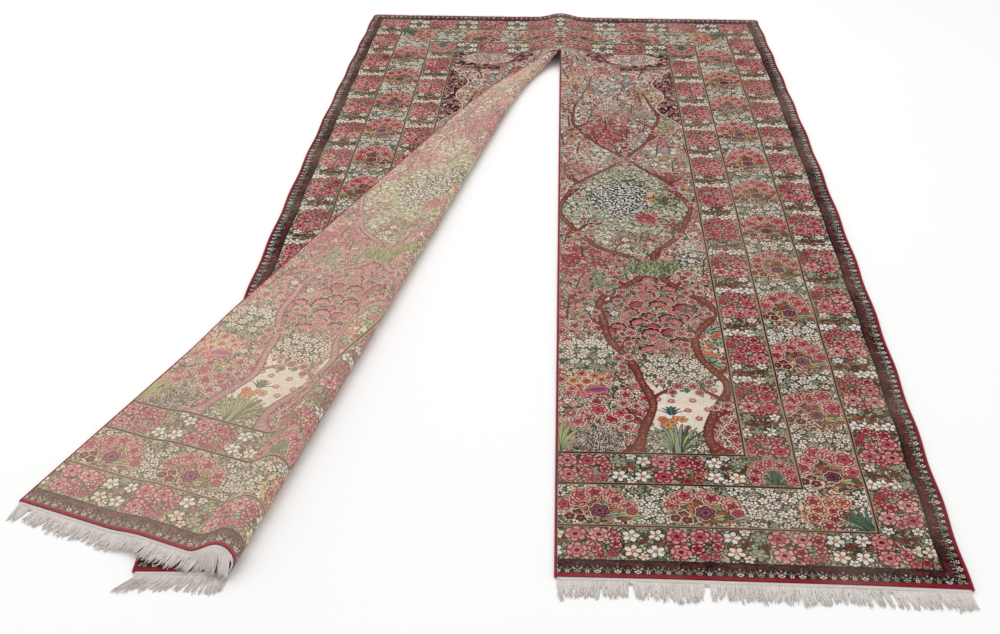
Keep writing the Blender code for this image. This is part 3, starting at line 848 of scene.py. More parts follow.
def right_stem(w):
    """The outer stem: as the inner one, with shorter waves."""
    low = 0.324 + 0.026 * np.cos(2 * math.pi * (w - 0.56) / 0.3) + 0.003 * np.sin(w * 47.0)
    return stem_path(w, 1, low, (0.146, 0.15), 43.0, (0.88, 0.15))


def field(loom):
    """The garden: beds of flowers, then two stems that wind up each half, meet at a leafy crown, part and cross."""
    u, w, side = loom.u, loom.w, HALF - INNER
    inside = (u < side) & (w > INNER) & (w < TOP)
    between = inside & (u > left_stem(w)) & (u < right_stem(w))
    lower = inside & (w < 1.12)
    pink = blossom(5, "pink rose pink blush", "amber white", 0.36, "maroon", 0.26, "sand")
    white = blossom(5, "white ivory sky", "amber coral", 0.42, "brown", 0.26)
    full = rose(5, "pink blush pink pink", "rose crimson", "wine", "maroon", "ivory")
    kinds = [(white, 0.008, 0.01, 0.028), (far_blossom("pink blush pink blush"), 0.0085, 0.0115, 0.0345)]
    meadow(
        loom, inside & ~lower, "ivory white blush sage white sky ivory", kinds,
        "sage olive sage teal brown", 0.015, "ivory white tan", 0.0098,
    )
    kinds = [(white, 0.0075, 0.0095, 0.027), (pink, 0.008, 0.0105, 0.031), (full, 0.012, 0.0155, 0.056)]
    meadow(
        loom, lower, "sage olive sand brown moss", kinds,
        "moss bottle olive brown", 0.0105, "night ivory white", 0.0088,
    )
    fans(loom, between & (w > 0.69) & (w < 1.03))
    near_lawn(loom, between)
    inner_beds(loom, inside & (u < left_stem(w)), inside)
    outer_beds(loom, inside & (u > right_stem(w) + 0.006))
    far_lawn(loom, inside, between)
    drifts(loom, inside, between)
    saplings(loom, inside)
    stems(loom, inside)
    spandrels(loom, inside, side)
    loom.ink[inside & ((side - u) < 2 * KNOT)] = INK["sand"]


def far_blossom(petals):
    """The plain flower of the upper garden."""
    return blossom(5, petals, "amber ivory", 0.36, "brown", 0.2)


def fans(loom, where):
    """Red and pink fans between the lower stems."""
    sow = functools.partial(loom.sow, where=where)
    pink = blossom(5, "pink blush pink", "amber", 0.36, "maroon", 0.26, "sand")
    kinds = [(pink, 0.007, 0.01, 0.026)]
    meadow(loom, where, "olive sand brown sage", kinds, "moss bottle brown sage", 0.011, "ivory night peach")
    at = loom.scatter(where, 0.043, 0.34)
    sizes, fan = loom.chance.uniform(0.017, 0.026, len(at)), fan_flower("night maroon night", "pink rose pink", "moss")
    sow(at, sizes, fan, turn=loom.chance.uniform(-0.9, 0.9, len(at)))
    at = loom.scatter(where, 0.024, 0.38)
    sow(at[::3], 0.009, leaf("moss sage teal", "bottle", 0.4, "brown"))
    sow(at[1::6], 0.008, pink)


def near_lawn(loom, between):
    """The pale lawn with its flowers and the green plants at its foot, and the white bushes above it."""
    lawn = between & (loom.w < 0.6)
    sow = functools.partial(loom.sow, where=lawn)
    white = blossom(5, "white ivory white", "amber coral", 0.42, "brown", 0.26)
    loom.fill(lawn, "ivory ivory white ivory")
    at = loom.scatter(lawn, 0.035, 0.28)
    sow(at - (0.0, 0.008), 0.0085, blades(5, "teal moss", "slate"), turn=0.0)
    sow(at, 0.0058, blossom(5, "coral amber pink blush", "ivory", 0.35, "rust"))
    low = lawn & loom.oval(0.236, 0.365, 0.09, 0.055, 0.08)
    meadow(loom, low, "ivory sand ivory", [(white, 0.006, 0.008, 0.02)], "teal slate moss", 0.0085, "bottle slate")
    sow((0.236, INNER), 0.096, blades(13, "sage moss lime sage", "bottle", 0.34), turn=0.0)
    sow((0.232, 0.462), 0.03, blades(7, "teal slate", "navy"), turn=0.0)
    orange = blossom(6, "orange amber coral", "rust", 0.3, "rust")
    sow([(0.214, 0.447), (0.232, 0.44), (0.252, 0.449), (0.222, 0.43)], 0.0095, orange)
    bush = between & loom.oval(0.285, 0.585, 0.05, 0.036)
    meadow(loom, bush, "sage slate moss", [(white, 0.005, 0.007, 0.019)], "moss teal bottle", 0.009, "white bottle")
    crown = between & loom.oval(0.245, 0.618, 0.08, 0.062, 0.2)
    kinds = [(blossom(5, "white ivory white", "amber", 0.42, "night", 0.25), 0.0085, 0.011, 0.0185)]
    meadow(loom, crown, "moss sage olive", kinds, "bottle moss", 0.01, "ivory night")


def inner_beds(loom, inner, inside):
    """Beside the inner stem: white flowers, pale tufts, roses, fruit trees and tall grass."""
    kinds = [(blossom(6, "white sage white ivory", "amber", 0.45, "night", 0.2), 0.0105, 0.0135, 0.0225)]
    daisies = inner & loom.oval(0.075, 0.675, 0.085, 0.065, 0.25)
    meadow(loom, daisies, "olive moss sage", kinds, "bottle teal olive", 0.01, "ivory night")
    tuft = inside & loom.oval(0.085, 0.375, 0.045, 0.04)
    loom.fill(tuft, "night slate navy")
    at = loom.scatter(tuft, 0.0075)
    turn = math.pi / 2 + (at[:, 0] - 0.085) * -14
    loom.sow(at, 0.0085, leaf("white ivory sand", "night", 0.22), turn=turn, where=tuft)
    kinds = [(rose(6, "pink rose pink", "rose crimson", "wine", "maroon", "ivory"), 0.014, 0.019, 0.037)]
    bank = inner & loom.oval(0.11, 0.47, 0.06, 0.045, 0.3)
    meadow(loom, bank, "peach sage sand", kinds, "teal moss bottle", 0.011, "maroon")
    kinds = [(rose(5, "coral orange amber", "rust crimson", "wine", "rust", "ivory"), 0.009, 0.012, 0.028)]
    orchard = inner & loom.oval(0.055, 0.575, 0.06, 0.035, 0.3)
    meadow(loom, orchard, "sand peach sage", kinds, "moss teal", 0.011, "rust")
    buds = [(0.086, 0.545), (0.058, 0.53)]
    loom.sow(buds, (0.024, 0.015), tulip("mauve pink", "pink"), turn=(0.15, 2.2), where=inside)
    grass = blades(9, "lime sage lime moss", "moss", 0.42, 0.5)
    loom.sow((0.0, INNER), 0.1, grass, turn=0.0, where=inside & (loom.u < 0.07))


def outer_beds(loom, outer):
    """Beyond the outer stem: roses, then fruit."""
    u, w = loom.u, loom.w
    kinds = [(rose(5, "rose pink crimson", "crimson rose", "wine", "wine", "ivory"), 0.0095, 0.0125, 0.026)]
    meadow(loom, outer & (w < 0.5), "sand sage peach", kinds, "teal moss slate", 0.01)
    strip = outer & (u > right_stem(w) + 0.008) & (w > 0.6) & (w < 0.83)
    kinds = [(tulip("orange coral rust", "orange", "rust"), 0.0095, 0.012, 0.034)]
    meadow(loom, strip, "ivory sand sage", kinds, "teal navy moss", 0.0115)


def far_lawn(loom, inside, between):
    """Above the crown: a pale lawn with a dark round bush and small beds, and a bush beside the crown."""
    bush = inside & loom.oval(0.325, 1.065, 0.040, 0.062)
    thicket(loom, bush, "night slate olive", "white ivory sand white", 0.0068)
    lawn, kinds = between & (loom.w > 1.10) & (loom.w < 1.60), [(far_blossom("white ivory"), 0.007, 0.008, 0.045)]
    meadow(
        loom, lawn, "sage sand sage ivory sage sand", kinds,
        "sage olive sage moss", 0.0140, "ivory white bottle", 0.0098,
    )
    bush = between & loom.oval(0.165, 1.395, 0.074, 0.100, 0.3)
    thicket(loom, bush, "night navy night slate", "white ivory sky white", 0.0080)
    for u, w, half_u, half_w, ground, petals in (
        (0.232, 1.290, 0.032, 0.035, "rose pink blush", "rose pink rose"),
        (0.250, 1.400, 0.022, 0.030, "coral peach", "coral peach amber"),
        (0.285, 1.385, 0.034, 0.036, "lime sage moss", "lime sage moss"),
        (0.195, 1.180, 0.060, 0.040, "olive sand", "pink coral sage"),
        (0.300, 1.220, 0.030, 0.060, "moss sage olive", "sage moss blush"),
    ):
        bed, kinds = between & loom.oval(u, w, half_u, half_w, 0.3), [(far_blossom(petals), 0.0070, 0.0095, 0.0215)]
        meadow(loom, bed, ground, kinds, "moss olive bottle", 0.0125, None, 0.008)


def drifts(loom, inside, between):
    """Drifts of colour in the upper garden; the lower ones keep off the ground between the stems."""
    for u, w, half_u, half_w, ground, petals, pitch in (
        (0.145, 1.800, 0.065, 0.100, "blush sand rose", "rose rose pink", 0.0155),
        (0.130, 1.660, 0.050, 0.045, "sage sand", "white ivory sky", 0.0190),
        (0.255, 2.060, 0.062, 0.055, "peach sand ivory", "coral amber peach", 0.0175),
        (0.115, 2.130, 0.085, 0.060, "sky sage white", "sky white ivory", 0.0150),
        (0.035, 1.985, 0.045, 0.060, "sage sand sage", "blush sage ivory", 0.0190),
        (0.035, 2.160, 0.050, 0.060, "sand peach", "coral peach blush", 0.0185),
        (0.300, 1.640, 0.060, 0.075, "sky sand sage", "white lilac ivory", 0.0170),
        (0.290, 1.510, 0.060, 0.055, "blush sand olive", "rose pink rose", 0.0160),
        (0.045, 1.560, 0.055, 0.060, "blush sand pink", "pink rose blush", 0.0165),
        (0.215, 1.930, 0.050, 0.055, "sand sage tan", "coral pink sage", 0.0190),
        (0.300, 1.870, 0.035, 0.070, "sage sand olive", "white sage blush", 0.0180),
        (0.120, 2.260, 0.090, 0.035, "blush ivory sand", "pink coral blush", 0.0170),
        (0.060, 1.070, 0.070, 0.080, "blush pink sand", "rose pink rose", 0.0180),
        (0.030, 0.900, 0.045, 0.060, "blush sand pink", "pink rose blush", 0.0185),
        (0.110, 0.985, 0.060, 0.040, "olive sage sand", "pink coral sage", 0.0200),
        (0.345, 1.280, 0.020, 0.100, "sand sage", "rose pink white", 0.0180),
        (0.055, 1.240, 0.040, 0.060, "sand sage blush", "rose pink coral", 0.0180),
    ):
        bed = inside & loom.oval(u, w, half_u, half_w, 0.35)
        kinds = [(far_blossom(petals), 0.0090, 0.0120, pitch * 1.45)]
        if w < 1.3 or (w < 1.62 and u > 0.2):
            bed &= ~between
        meadow(loom, bed, ground, kinds, "olive sage moss sage", 0.0135, "ivory tan", 0.0095)


def saplings(loom, inside):
    """Small trees on a loose net: a bent trunk with twigs by turns to both sides, a blossom or leaf at each tip."""
    stroke, sow = functools.partial(loom.stroke, where=inside), functools.partial(loom.sow, where=inside)
    lawn = (loom.u > left_stem(loom.w)) & (loom.u < right_stem(loom.w)) & (loom.w < 1.62)
    feet = loom.scatter(inside & ~lawn & (loom.w > 0.72) & (loom.w < TOP - 0.12), 0.108, 0.25)
    kinds = ("rose pink pink", "white ivory sky", "coral peach amber", "pink blush pink", "blush white pink")
    for number, foot in enumerate(feet):
        height = loom.chance.uniform(0.07, 0.1)
        lean = loom.chance.uniform(-0.02, 0.02)
        trunk = foot + np.array([(0, 0), (lean * 0.3, height * 0.35), (lean, height * 0.7), (lean * 1.6, height)])
        stroke(smooth_line(trunk, 7), np.linspace(0.0048, TWIG, 7), "brown")
        tips = []
        for k, share in enumerate((0.35, 0.5, 0.62, 0.75, 0.88)):
            way = (-1) ** k
            root = foot + (lean * share, height * share)
            tip = root + (way * (0.034 - 0.018 * share), 0.024 + 0.004 * k)
            stroke([root, (root + tip) / 2 + (way * 0.003, -0.002), tip], TWIG, "brown")
            tips += [tip, tip + (way * 0.008, -0.009)]
        tips = np.array(tips)
        sow(tips[1::2], 0.0095, leaf("sage moss bottle", "bottle", 0.45))
        sow(tips[::2], 0.01, far_blossom(kinds[number % len(kinds)]))


def stems(loom, inside):
    """The two stems of each half, thick at the root and thin at the top, their side twigs and the leafy crown."""
    stroke, sow = functools.partial(loom.stroke, where=inside), functools.partial(loom.sow, where=inside)
    green = leaf("lime sage moss teal", "bottle", 0.44, "dark_olive")
    bloom = rose(5, "pink blush coral pink", "rose crimson", "wine", "maroon", "ivory")
    for stem, top in ((left_stem, 2.08), (right_stem, 2.02)):
        for wider, inks_used in ((2.6 * KNOT, ("peach",)), (0.0, ("bark", "maroon", "bark_light"))):
            for low, high, first, last in ((INNER, CROWN[1], 0.0135, 0.0098), (CROWN[1] + 0.012, top, 0.0098, 0.003)):
                w = np.linspace(low, high, 70)
                flare = 0.026 * np.exp(-(w - INNER) / 0.018) + 0.003 * np.abs(np.sin(w * 33.0)) * (w < 1.5)
                width = mixed(first, last, np.linspace(0, 1, 70) ** 0.8) + flare + wider
                stroke(pairs(stem(w), w), width, *inks_used)
        for number, w in enumerate(np.arange(0.43, 1.95, 0.088)):
            if abs(w - CROWN[1]) < 0.06:
                continue
            way = 1 if (number + (stem is right_stem)) % 2 else -1
            root = np.array([float(stem(np.array(w))), w])
            reach = way * (0.042 + 0.014 * math.sin(number * 1.7))
            tip = root + (reach, 0.05 + 0.014 * math.cos(number * 2.3))
            mid = root + (reach * 0.5, 0.024)
            stroke(smooth_line([root, mid, tip], 8), np.linspace(0.0058, 0.0024, 8), "bark", "maroon")
            forks = np.array([mid + (reach * 0.3, -0.008), mid + (-reach * 0.1, 0.03), tip + (-reach * 0.25, 0.012)])
            for fork in forks:
                stroke([mid, fork], TWIG, "bark")
            leaves = np.concatenate([forks, [tip + (reach * 0.22, -0.01), tip + (reach * 0.1, 0.012)]])
            sow(leaves, 0.01, green)
            sow(forks[:2] + (0.0, 0.006), 0.0075, bloom)
            sow(tip + (0, 0.004), 0.0105 if w < 1.2 else 0.0085, bloom)
    crown = inside & loom.oval(*CROWN, 0.062, 0.034, 0.4)
    meadow(loom, crown, "lime sage olive", [], "lime sage moss bottle", 0.0115, "bottle")
    at = loom.scatter(crown, 0.021)
    tuft = blades(7, "lime sage lime olive", "bottle", 0.5, 0.9)
    sow(at - (0, 0.006), 0.02, tuft, turn=loom.chance.uniform(-0.6, 0.6, len(at)))


def spandrels(loom, inside, side):
    """The far corners: a dark ground with pale scrolls inside a wavy white line, beside a pale panel."""
    u, reach = loom.u, TOP - loom.w
    arches = np.abs(np.sin(math.pi * np.clip((reach - 0.1) / 0.47, 0, 1))) ** 0.8
    wave = side - 0.086 * arches * (0.74 + 0.26 * np.cos(2 * math.pi * reach / 0.225))
    near = mixed(0.105, wave, smooth((reach - 0.06) / 0.065)) - 0.03 * np.exp(-(((reach - 0.098) / 0.016) ** 2))
    wave = np.where(reach < 0.13, near, wave)
    rough = 0.004 * loom.quick
    arm = np.abs(reach - 0.112 + 0.1 * (u - 0.3)) < 0.02 * smooth((u - 0.185) / 0.03) + rough
    shoulder = np.abs(reach - 0.028) < 0.024 * smooth((u - 0.075) / 0.04) + rough
    dark = inside & ((u > wave) & (reach < 0.57) | arm & (u > 0.19) | shoulder & (u > 0.085))
    sow = functools.partial(loom.sow, where=dark)
    loom.fill(dark, "night night night maroon night")
    at = loom.scatter(dark, 0.018)
    sow(at, loom.chance.uniform(0.009, 0.013, len(at)), leaf("blush ivory white pink", "crimson", 0.22))
    sow(loom.scatter(dark, 0.038), 0.0085, rose(5, "pink blush pink", "crimson rose", "wine", "night"))
    sow(loom.scatter(dark, 0.041), 0.0066, blossom(5, "white ivory blush", "coral", 0.42, "night"))
    panel = inside & loom.oval(0.242, TOP - 0.045, 0.08, 0.044, 0.08)
    kinds = [(far_blossom("lilac blush ivory"), 0.006, 0.008, 0.019)]
    meadow(loom, panel, "ivory blush white", kinds, "lilac sage mauve", 0.012, "mauve")
    loom.ink[loom.oval(0.242, TOP - 0.045, 0.083, 0.047, 0.08) & ~panel & inside] = INK["ivory"]
    loom.ink[inside & (np.abs(u - wave) < 1.2 * KNOT) & (reach < 0.57) & (reach > 0.105)] = INK["ivory"]
    outside = wave - u
    rim = (outside > 1.2 * KNOT) & (outside < 2.6 * KNOT)
    loom.ink[inside & rim & (reach < 0.56) & (reach > 0.105)] = INK["night"]


def chart(seed):
    """The ink of every knot of one half, the field first and the bands over it."""
    loom = Loom(seed)
    field(loom)
    border(loom)
    return loom.ink


# --- Finishes ---


def linear(colour):
    """The scene's linear values of a colour given as 0 to 255."""
    share = np.asarray(colour, float) / 255
    return tuple(np.where(share <= 0.04045, share / 12.92, ((share + 0.055) / 1.055) ** 2.4))


def back_wool(name, colour, looks):
    """A wool as the back shows it: its distance from its own grey scaled by back_vivid, then faded, the darkest
    and the palest wools least, the stems' most, the reds to back_rosy and the others to back_straw."""
    colour = np.asarray(colour[:3], float)
    grey = colour @ (0.2126, 0.7152, 0.0722)
    redness = (colour[0] - colour[1]) / (colour[0] + colour[1])
    wash = mixed(np.asarray(looks.back_straw), np.asarray(looks.back_rosy), np.clip(redness * 2.5 - 0.25, 0, 1))
    own = {"bark": 1.8, "bark_light": 1.8, "selvedge": 0.25}.get(name, 1.0)
    share = looks.back_share * (0.3 + 1.3 * math.sqrt(grey) * (1 - grey)) * own
    return tuple(mixed(np.clip(grey + (colour - grey) * looks.back_vivid, 0, 1), wash, share))


class Finish:
    """A material under construction: makes its nodes, sets their sockets and joins them."""

    def __init__(self, name):
        old = bpy.data.materials.get(name)
        if old is not None:
            bpy.data.materials.remove(old)
        self.material = bpy.data.materials.new(name)
        self.material.use_nodes = True
        self.tree = self.material.node_tree
        self.shader = self.tree.nodes["Principled BSDF"]

    def feed(self, socket, value):
        """Joins value to the socket if it is a socket, and sets it there if it is a constant."""
        if isinstance(value, bpy.types.NodeSocket):
            self.tree.links.new(value, socket)
        else:
            socket.default_value = value

    def node(self, kind, settings=None, inputs=()):
        """A new node with its settings and inputs, both by name or number."""
        made = self.tree.nodes.new("ShaderNode" + kind)
        for key, value in (settings or {}).items():
            setattr(made, key, value)
        for key, value in dict(inputs).items():
            self.feed(made.inputs[key], value)
        return made

    def calc(self, operation, *values):
        """One step of arithmetic on numbers."""
        return self.node("Math", {"operation": operation}, enumerate(values)).outputs[0]

    def times(self, *values):
        """The product of two values or more."""
        return functools.reduce(functools.partial(self.calc, "MULTIPLY"), values)

    def vector(self, operation, *values, out="Vector"):
        """One step of arithmetic on vectors."""
        return self.node("VectorMath", {"operation": operation}, enumerate(values)).outputs[out]

    def apart(self, vector):
        return self.node("SeparateXYZ", None, {0: vector}).outputs

    def attribute(self, name):
        """A vector that the mesh has for each of its faces, corners or points."""
        return self.node("Attribute", {"attribute_name": name}).outputs["Vector"]

    def cloth(self):
        return self.node("UVMap", {"uv_map": "Cloth"}).outputs[0]

    def ramp(self, value, stops):
        """The colour of the last stop that value has reached. A stop is its position and its colour."""
        made = self.node("ValToRGB", None, {0: value})
        band = made.color_ramp
        band.interpolation = "CONSTANT"
        while len(band.elements) < len(stops):
            band.elements.new(1.0)
        for element, (position, _) in zip(band.elements, stops):
            element.position = position
        for element, (_, colour) in zip(band.elements, stops):
            element.color = (*colour[:3], 1)
        return made.outputs[0]

    def scale(self, value, low, high, first=0.0, last=1.0):
        """value mapped from first..last to low..high."""
        return self.node("MapRange", None, {0: value, 1: first, 2: last, 3: low, 4: high}).outputs[0]

    def shading(self, *bands):
        """The product of values that are each mapped as scale() does."""
        return self.times(*[self.scale(*band) for band in bands])

    def noise(self, vector, scale, detail=2.0, roughness=0.5):
        """Smooth noise of about scale waves to a unit of vector."""
        inputs = {"Vector": vector, "Scale": scale, "Detail": detail, "Roughness": roughness}
        return self.node("TexNoise", None, inputs).outputs[0]

    def speckle(self, vector):
        """A value from 0 to 1 by chance for each whole step of vector."""
        step = self.vector("FLOOR", vector)
        return self.node("TexWhiteNoise", {"noise_dimensions": "2D"}, {"Vector": step}).outputs[0]

    def blend(self, share, low, high):
        """A colour between low and high; each is a socket or three numbers."""
        low, high = (end if isinstance(end, bpy.types.NodeSocket) else (*end, 1) for end in (low, high))
        return self.node("Mix", {"data_type": "RGBA"}, {0: share, 6: low, 7: high}).outputs[2]

    def scaled(self, colour, value):
        return self.node("VectorMath", {"operation": "SCALE"}, {0: colour, "Scale": value}).outputs[0]

    def relief(self, height, distance):
        """The normal over a relief: height times distance, in metres."""
        return self.node("Bump", None, {"Height": height, "Distance": distance, "Strength": 1.0}).outputs[0]

    def done(self, colour, roughness, normal, **constants):
        """Feeds the shader and returns the material. The constants are named as its inputs are."""
        self.feed(self.shader.inputs["Base Color"], colour)
        self.feed(self.shader.inputs["Roughness"], roughness)
        self.feed(self.shader.inputs["Normal"], normal)
        for key, value in constants.items():
            self.shader.inputs[key.replace("_", " ")].default_value = value
        return self.material


def knot_colour(finish, wools):
    """Looks up the ink of the knot under a point: its row picks one of the face's three numbers, its column says
    how many digits to BASE are cut off, and the last digit left picks the wool."""
    across, along, _ = finish.apart(finish.attribute("in_face"))
    rows = [(k / KNOTS_ALONG, [float(k == axis) for axis in range(3)]) for k in range(KNOTS_ALONG)]
    row = finish.ramp(finish.calc("DIVIDE", along, KNOTS_ALONG), rows)
    code = finish.vector("DOT_PRODUCT", finish.attribute("knots"), row, out="Value")
    cuts = [(k / KNOTS_ACROSS, (float(BASE) ** -k, 0, 0)) for k in range(KNOTS_ACROSS)]
    cut = finish.apart(finish.ramp(finish.calc("DIVIDE", across, KNOTS_ACROSS), cuts))[0]
    digit = finish.calc("MODULO", finish.calc("FLOOR", finish.times(code, cut)), BASE)
    wool = finish.calc("DIVIDE", finish.calc("ADD", digit, 0.5), BASE)
    return finish.ramp(wool, [(k / BASE, colour) for k, colour in enumerate(wools)])


def dye_colours():
    """The wools' colours, in the order of DYES."""
    dyes = bpy.context.scene.rug_dyes
    return [tuple(getattr(dyes, row[0])) for row in DYES]


def tuft_shape(finish, across, along):
    """The pillow of one knot, 1 at its middle and 0 at its edges: 4 f (1 - f) both ways. It serves as relief, and as
    painted shade that darkens the knot towards its edges.
    """
    shares = [finish.calc("FRACT", value) for value in (across, along)]
    arches = [finish.times(finish.calc("SUBTRACT", 1.0, share), share) for share in shares]
    return finish.times(*arches, 16.0)


def knot_fields(finish, streaks, fibre_width):
    """What both sides of the cloth have: its map, the place in the face, and three fields: a tone for each knot,
    dye that drifts in streaks across the rug, and fibres."""
    cloth = finish.cloth()
    across, along, _ = finish.apart(finish.attribute("in_face"))
    tone = finish.speckle(finish.vector("MULTIPLY", cloth, (LENGTH / KNOT, LENGTH / ROW, 0)))
    streak = finish.noise(finish.vector("MULTIPLY", cloth, (3.0, streaks, 1)), 1.0, 3.0, 0.6)
    return cloth, across, along, tone, streak, finish.noise(cloth, LENGTH / fibre_width, 2.0, 0.7)


def pile_finish():
    """Cut wool pile: each knot a tuft with its own tone and painted shade towards its edges, dye that drifts in
    streaks across the rug, faint wear.
    """
    finish = Finish("knotted_pile")
    looks = bpy.context.scene.rug_looks
    colour = knot_colour(finish, dye_colours())
    cloth, across, along, tone, streak, fibre = knot_fields(finish, 34.0, 0.0005)
    cloud = finish.noise(cloth, 14.0, 3.0, 0.55)
    tuft = tuft_shape(finish, across, along)
    # light: each knot's random tone, dye streaks and fibres, times painted shade from the tuft's pillow, darker where
    # the knots meet
    light = finish.shading(
        (tone, 1 - looks.tuft_tone, 1 + looks.tuft_tone), (streak, 0.9, 1.12, *NOISE_SPAN),
        (tuft, 0.76, 0.98), (fibre, 0.93, 1.07, *NOISE_SPAN),
    )
    worn = finish.blend(finish.scale(cloud, 0.0, looks.wear, 0.42, 0.68), colour, looks.worn_wool)
    height = finish.calc("ADD", tuft, finish.scale(finish.calc("ADD", tone, fibre), 0.0, 0.8, 0.0, 2.0))
    return finish.done(
        finish.scaled(worn, light), finish.scale(finish.calc("ADD", fibre, cloud), 0.8, 0.98, 0.6, 1.4),
        finish.relief(height, looks.tuft_height), Sheen_Weight=0.07, Sheen_Roughness=0.3, Specular_IOR_Level=0.04,
    )


def back_finish():
    """The back of the knots: the same wools, paler and warmer, in flat ribs with painted shade at their edges, with
    the cotton weft between rows.
    """
    finish = Finish("knotted_back")
    looks = bpy.context.scene.rug_looks
    colour = knot_colour(finish, [back_wool(row[0], wool, looks) for row, wool in zip(DYES, dye_colours())])
    _, across, along, tone, streak, fibre = knot_fields(finish, 30.0, 0.0006)
    rib = tuft_shape(finish, finish.times(across, 2.0), along)
    from_middle = finish.calc("ABSOLUTE", finish.calc("SUBTRACT", finish.calc("FRACT", along), 0.5))
    threaded = finish.blend(finish.scale(from_middle, 0.0, 0.45, 0.36, 0.5), colour, looks.weft)
    # light: random tone, dye streaks and fibres, times painted shade from each rib's pillow, darker at its edges
    light = finish.shading(
        (tone, 0.86, 1.12), (streak, 0.91, 1.09, *NOISE_SPAN), (rib, 0.89, 1.08), (fibre, 0.95, 1.05, *NOISE_SPAN)
    )
    height = finish.calc("ADD", rib, finish.scale(fibre, 0.0, 0.4))
    return finish.done(
        finish.scaled(threaded, light), finish.scale(finish.calc("ADD", fibre, tone), 0.78, 0.96, 0.4, 1.6),
        finish.relief(height, looks.tuft_height * 0.7), Sheen_Weight=0.03, Sheen_Roughness=0.5, Specular_IOR_Level=0.1,
    )


def cord_finish():
    """Overcasting: wool wound round the edge, three threads to a turn, with stripes of painted shade between the
    threads that climb it.
    """
    finish = Finish("wound_wool")
    looks = bpy.context.scene.rug_looks
    cloth = finish.cloth()
    across, along, _ = finish.apart(cloth)
    climb, turn = finish.times(along, LENGTH / WRAP_PITCH), finish.times(across, 1 / (CORD_SIDES * CORD_MAP_STEP))
    threads = finish.times(finish.calc("ADD", climb, turn), THREADS_A_TURN * math.pi)
    thread = finish.calc("ABSOLUTE", finish.calc("SINE", threads))
    fibre = finish.noise(cloth, LENGTH / 0.0006, 2.0, 0.7)
    drift = finish.noise(finish.vector("MULTIPLY", cloth, (0, 1, 0)), 26.0, 3.0, 0.6)
    # light: painted shade in the grooves between the wound threads, times a slow drift and fibres
    light = finish.shading(
        (thread, 0.72, 1.08), (drift, 0.75, 1.25, *NOISE_SPAN), (fibre, 0.88, 1.12, *NOISE_SPAN)
    )
    colour = finish.blend(finish.scale(drift, 0.0, 0.35, 0.55, 0.75), looks.cord_wool, looks.cord_faded)
    return finish.done(
        finish.scaled(colour, light), finish.scale(finish.calc("ADD", fibre, thread), 0.7, 0.92, 0.4, 1.8),
        finish.relief(finish.calc("ADD", thread, fibre), 0.0004),
        Sheen_Weight=0.1, Sheen_Roughness=0.4, Specular_IOR_Level=0.25,
    )


def cotton_finish():
    """Warp ends: two-ply cotton, each strand with its own tone and painted shade in the twist of its plies, and a
    plain woven strip at their root with painted shade between its threads.
    """
    finish = Finish("cotton_ends")
    looks = bpy.context.scene.rug_looks
    tone, woven, _ = finish.apart(finish.attribute("strand"))
    across, along, _ = finish.apart(finish.cloth())
    turns = finish.calc("ADD", finish.calc("DIVIDE", along, PLY_TURN), across)
    ply = finish.calc("SINE", finish.times(turns, 2 * math.pi))
    warp = finish.calc("SINE", finish.times(across, 2 * math.pi / 0.0016))
    weft = finish.calc("SINE", finish.times(along, 2 * math.pi / 0.0012))
    thread = finish.node("Mix", {"data_type": "FLOAT"}, {0: woven, 2: ply, 3: finish.times(warp, weft)}).outputs[0]
    spot = finish.node("TexCoord").outputs["Object"]
    grime, fibre = finish.noise(spot, 23.0, 3.0, 0.6), finish.noise(spot, 1400.0, 2.0, 0.6)
    fresh = finish.blend(tone, looks.cotton, looks.cotton_aged)
    soiled = finish.blend(finish.scale(grime, 0.0, 0.4, 0.45, 0.75), fresh, looks.cotton_soiled)
    # light: painted shade in the plies' twist and between the strip's threads, times fibres
    light = finish.shading((thread, 0.88, 1.04, -1.0, 1.0), (fibre, 0.95, 1.04, *NOISE_SPAN))
    return finish.done(
        finish.scaled(soiled, light), finish.scale(finish.calc("ADD", fibre, tone), 0.75, 0.93, 0.3, 1.6),
        finish.relief(thread, 0.0003), Sheen_Weight=0.08, Sheen_Roughness=0.5, Specular_IOR_Level=0.25,
    )


def floor_finish():
    """A pale matt floor with a trace of unevenness."""
    finish = Finish("pale_floor")
    cloud = finish.noise(finish.node("TexCoord").outputs["Object"], 1.5)
    colour = finish.scaled(tuple(bpy.context.scene.rug_looks.floor), finish.scale(cloud, 0.985, 1.0))
    return finish.done(colour, finish.scale(cloud, 0.85, 0.95), finish.relief(cloud, 0.0002), Specular_IOR_Level=0.1)


def material(name, make):
    """The finish of this name, made on first use."""
    return bpy.data.materials.get(name) or make()


# --- Pieces ---


def section_grid(side, first, last):
    """u, v and the pattern's row w of the points of one section, from the slit to the side, rows first to last.
    Beside the slit the first column of points stands at the slit's edge, and past its end on the middle line."""
    w = np.arange(first, last + 1) * FACE_LENGTH
    columns = np.append(np.arange(FACE_COLUMNS) * FACE_WIDTH, SHEET_HALF)
    u, w = np.meshgrid(columns, w)
    v = v_of_row(w)
    slit = v[:, 0] < SLIT_END
    u[slit, 0] = SLIT_HALF
    u[slit, 1] = SLIT_HALF + SLIVER
    return (-u[:, ::-1], v, w) if side < 0 else (u, v, w)


def slab(u, v, thickness):
    """A closed slab on the grid: the middle surface moved half a thickness both ways, and walls round the rim.
    Returns its points and the quads of its front, back and walls."""
    rows, columns = u.shape
    middle, normal = place(u, v), facing(u, v)
    middle[..., 2] += bpy.context.scene.rug_looks.ripple * ripple(middle)
    points = np.stack([middle + normal * thickness / 2, middle - normal * thickness / 2]).reshape(-1, 3)
    count = rows * columns
    index = np.arange(count).reshape(rows, columns)
    rim = np.concatenate([index[0, :-1], index[:-1, -1], index[-1, :0:-1], index[:0:-1, 0]])
    after = np.roll(rim, -1)
    walls = np.stack([rim, rim + count, after + count, after], axis=-1)
    return points, grid_faces(rows, columns), grid_faces(rows, columns, count)[:, ::-1], walls


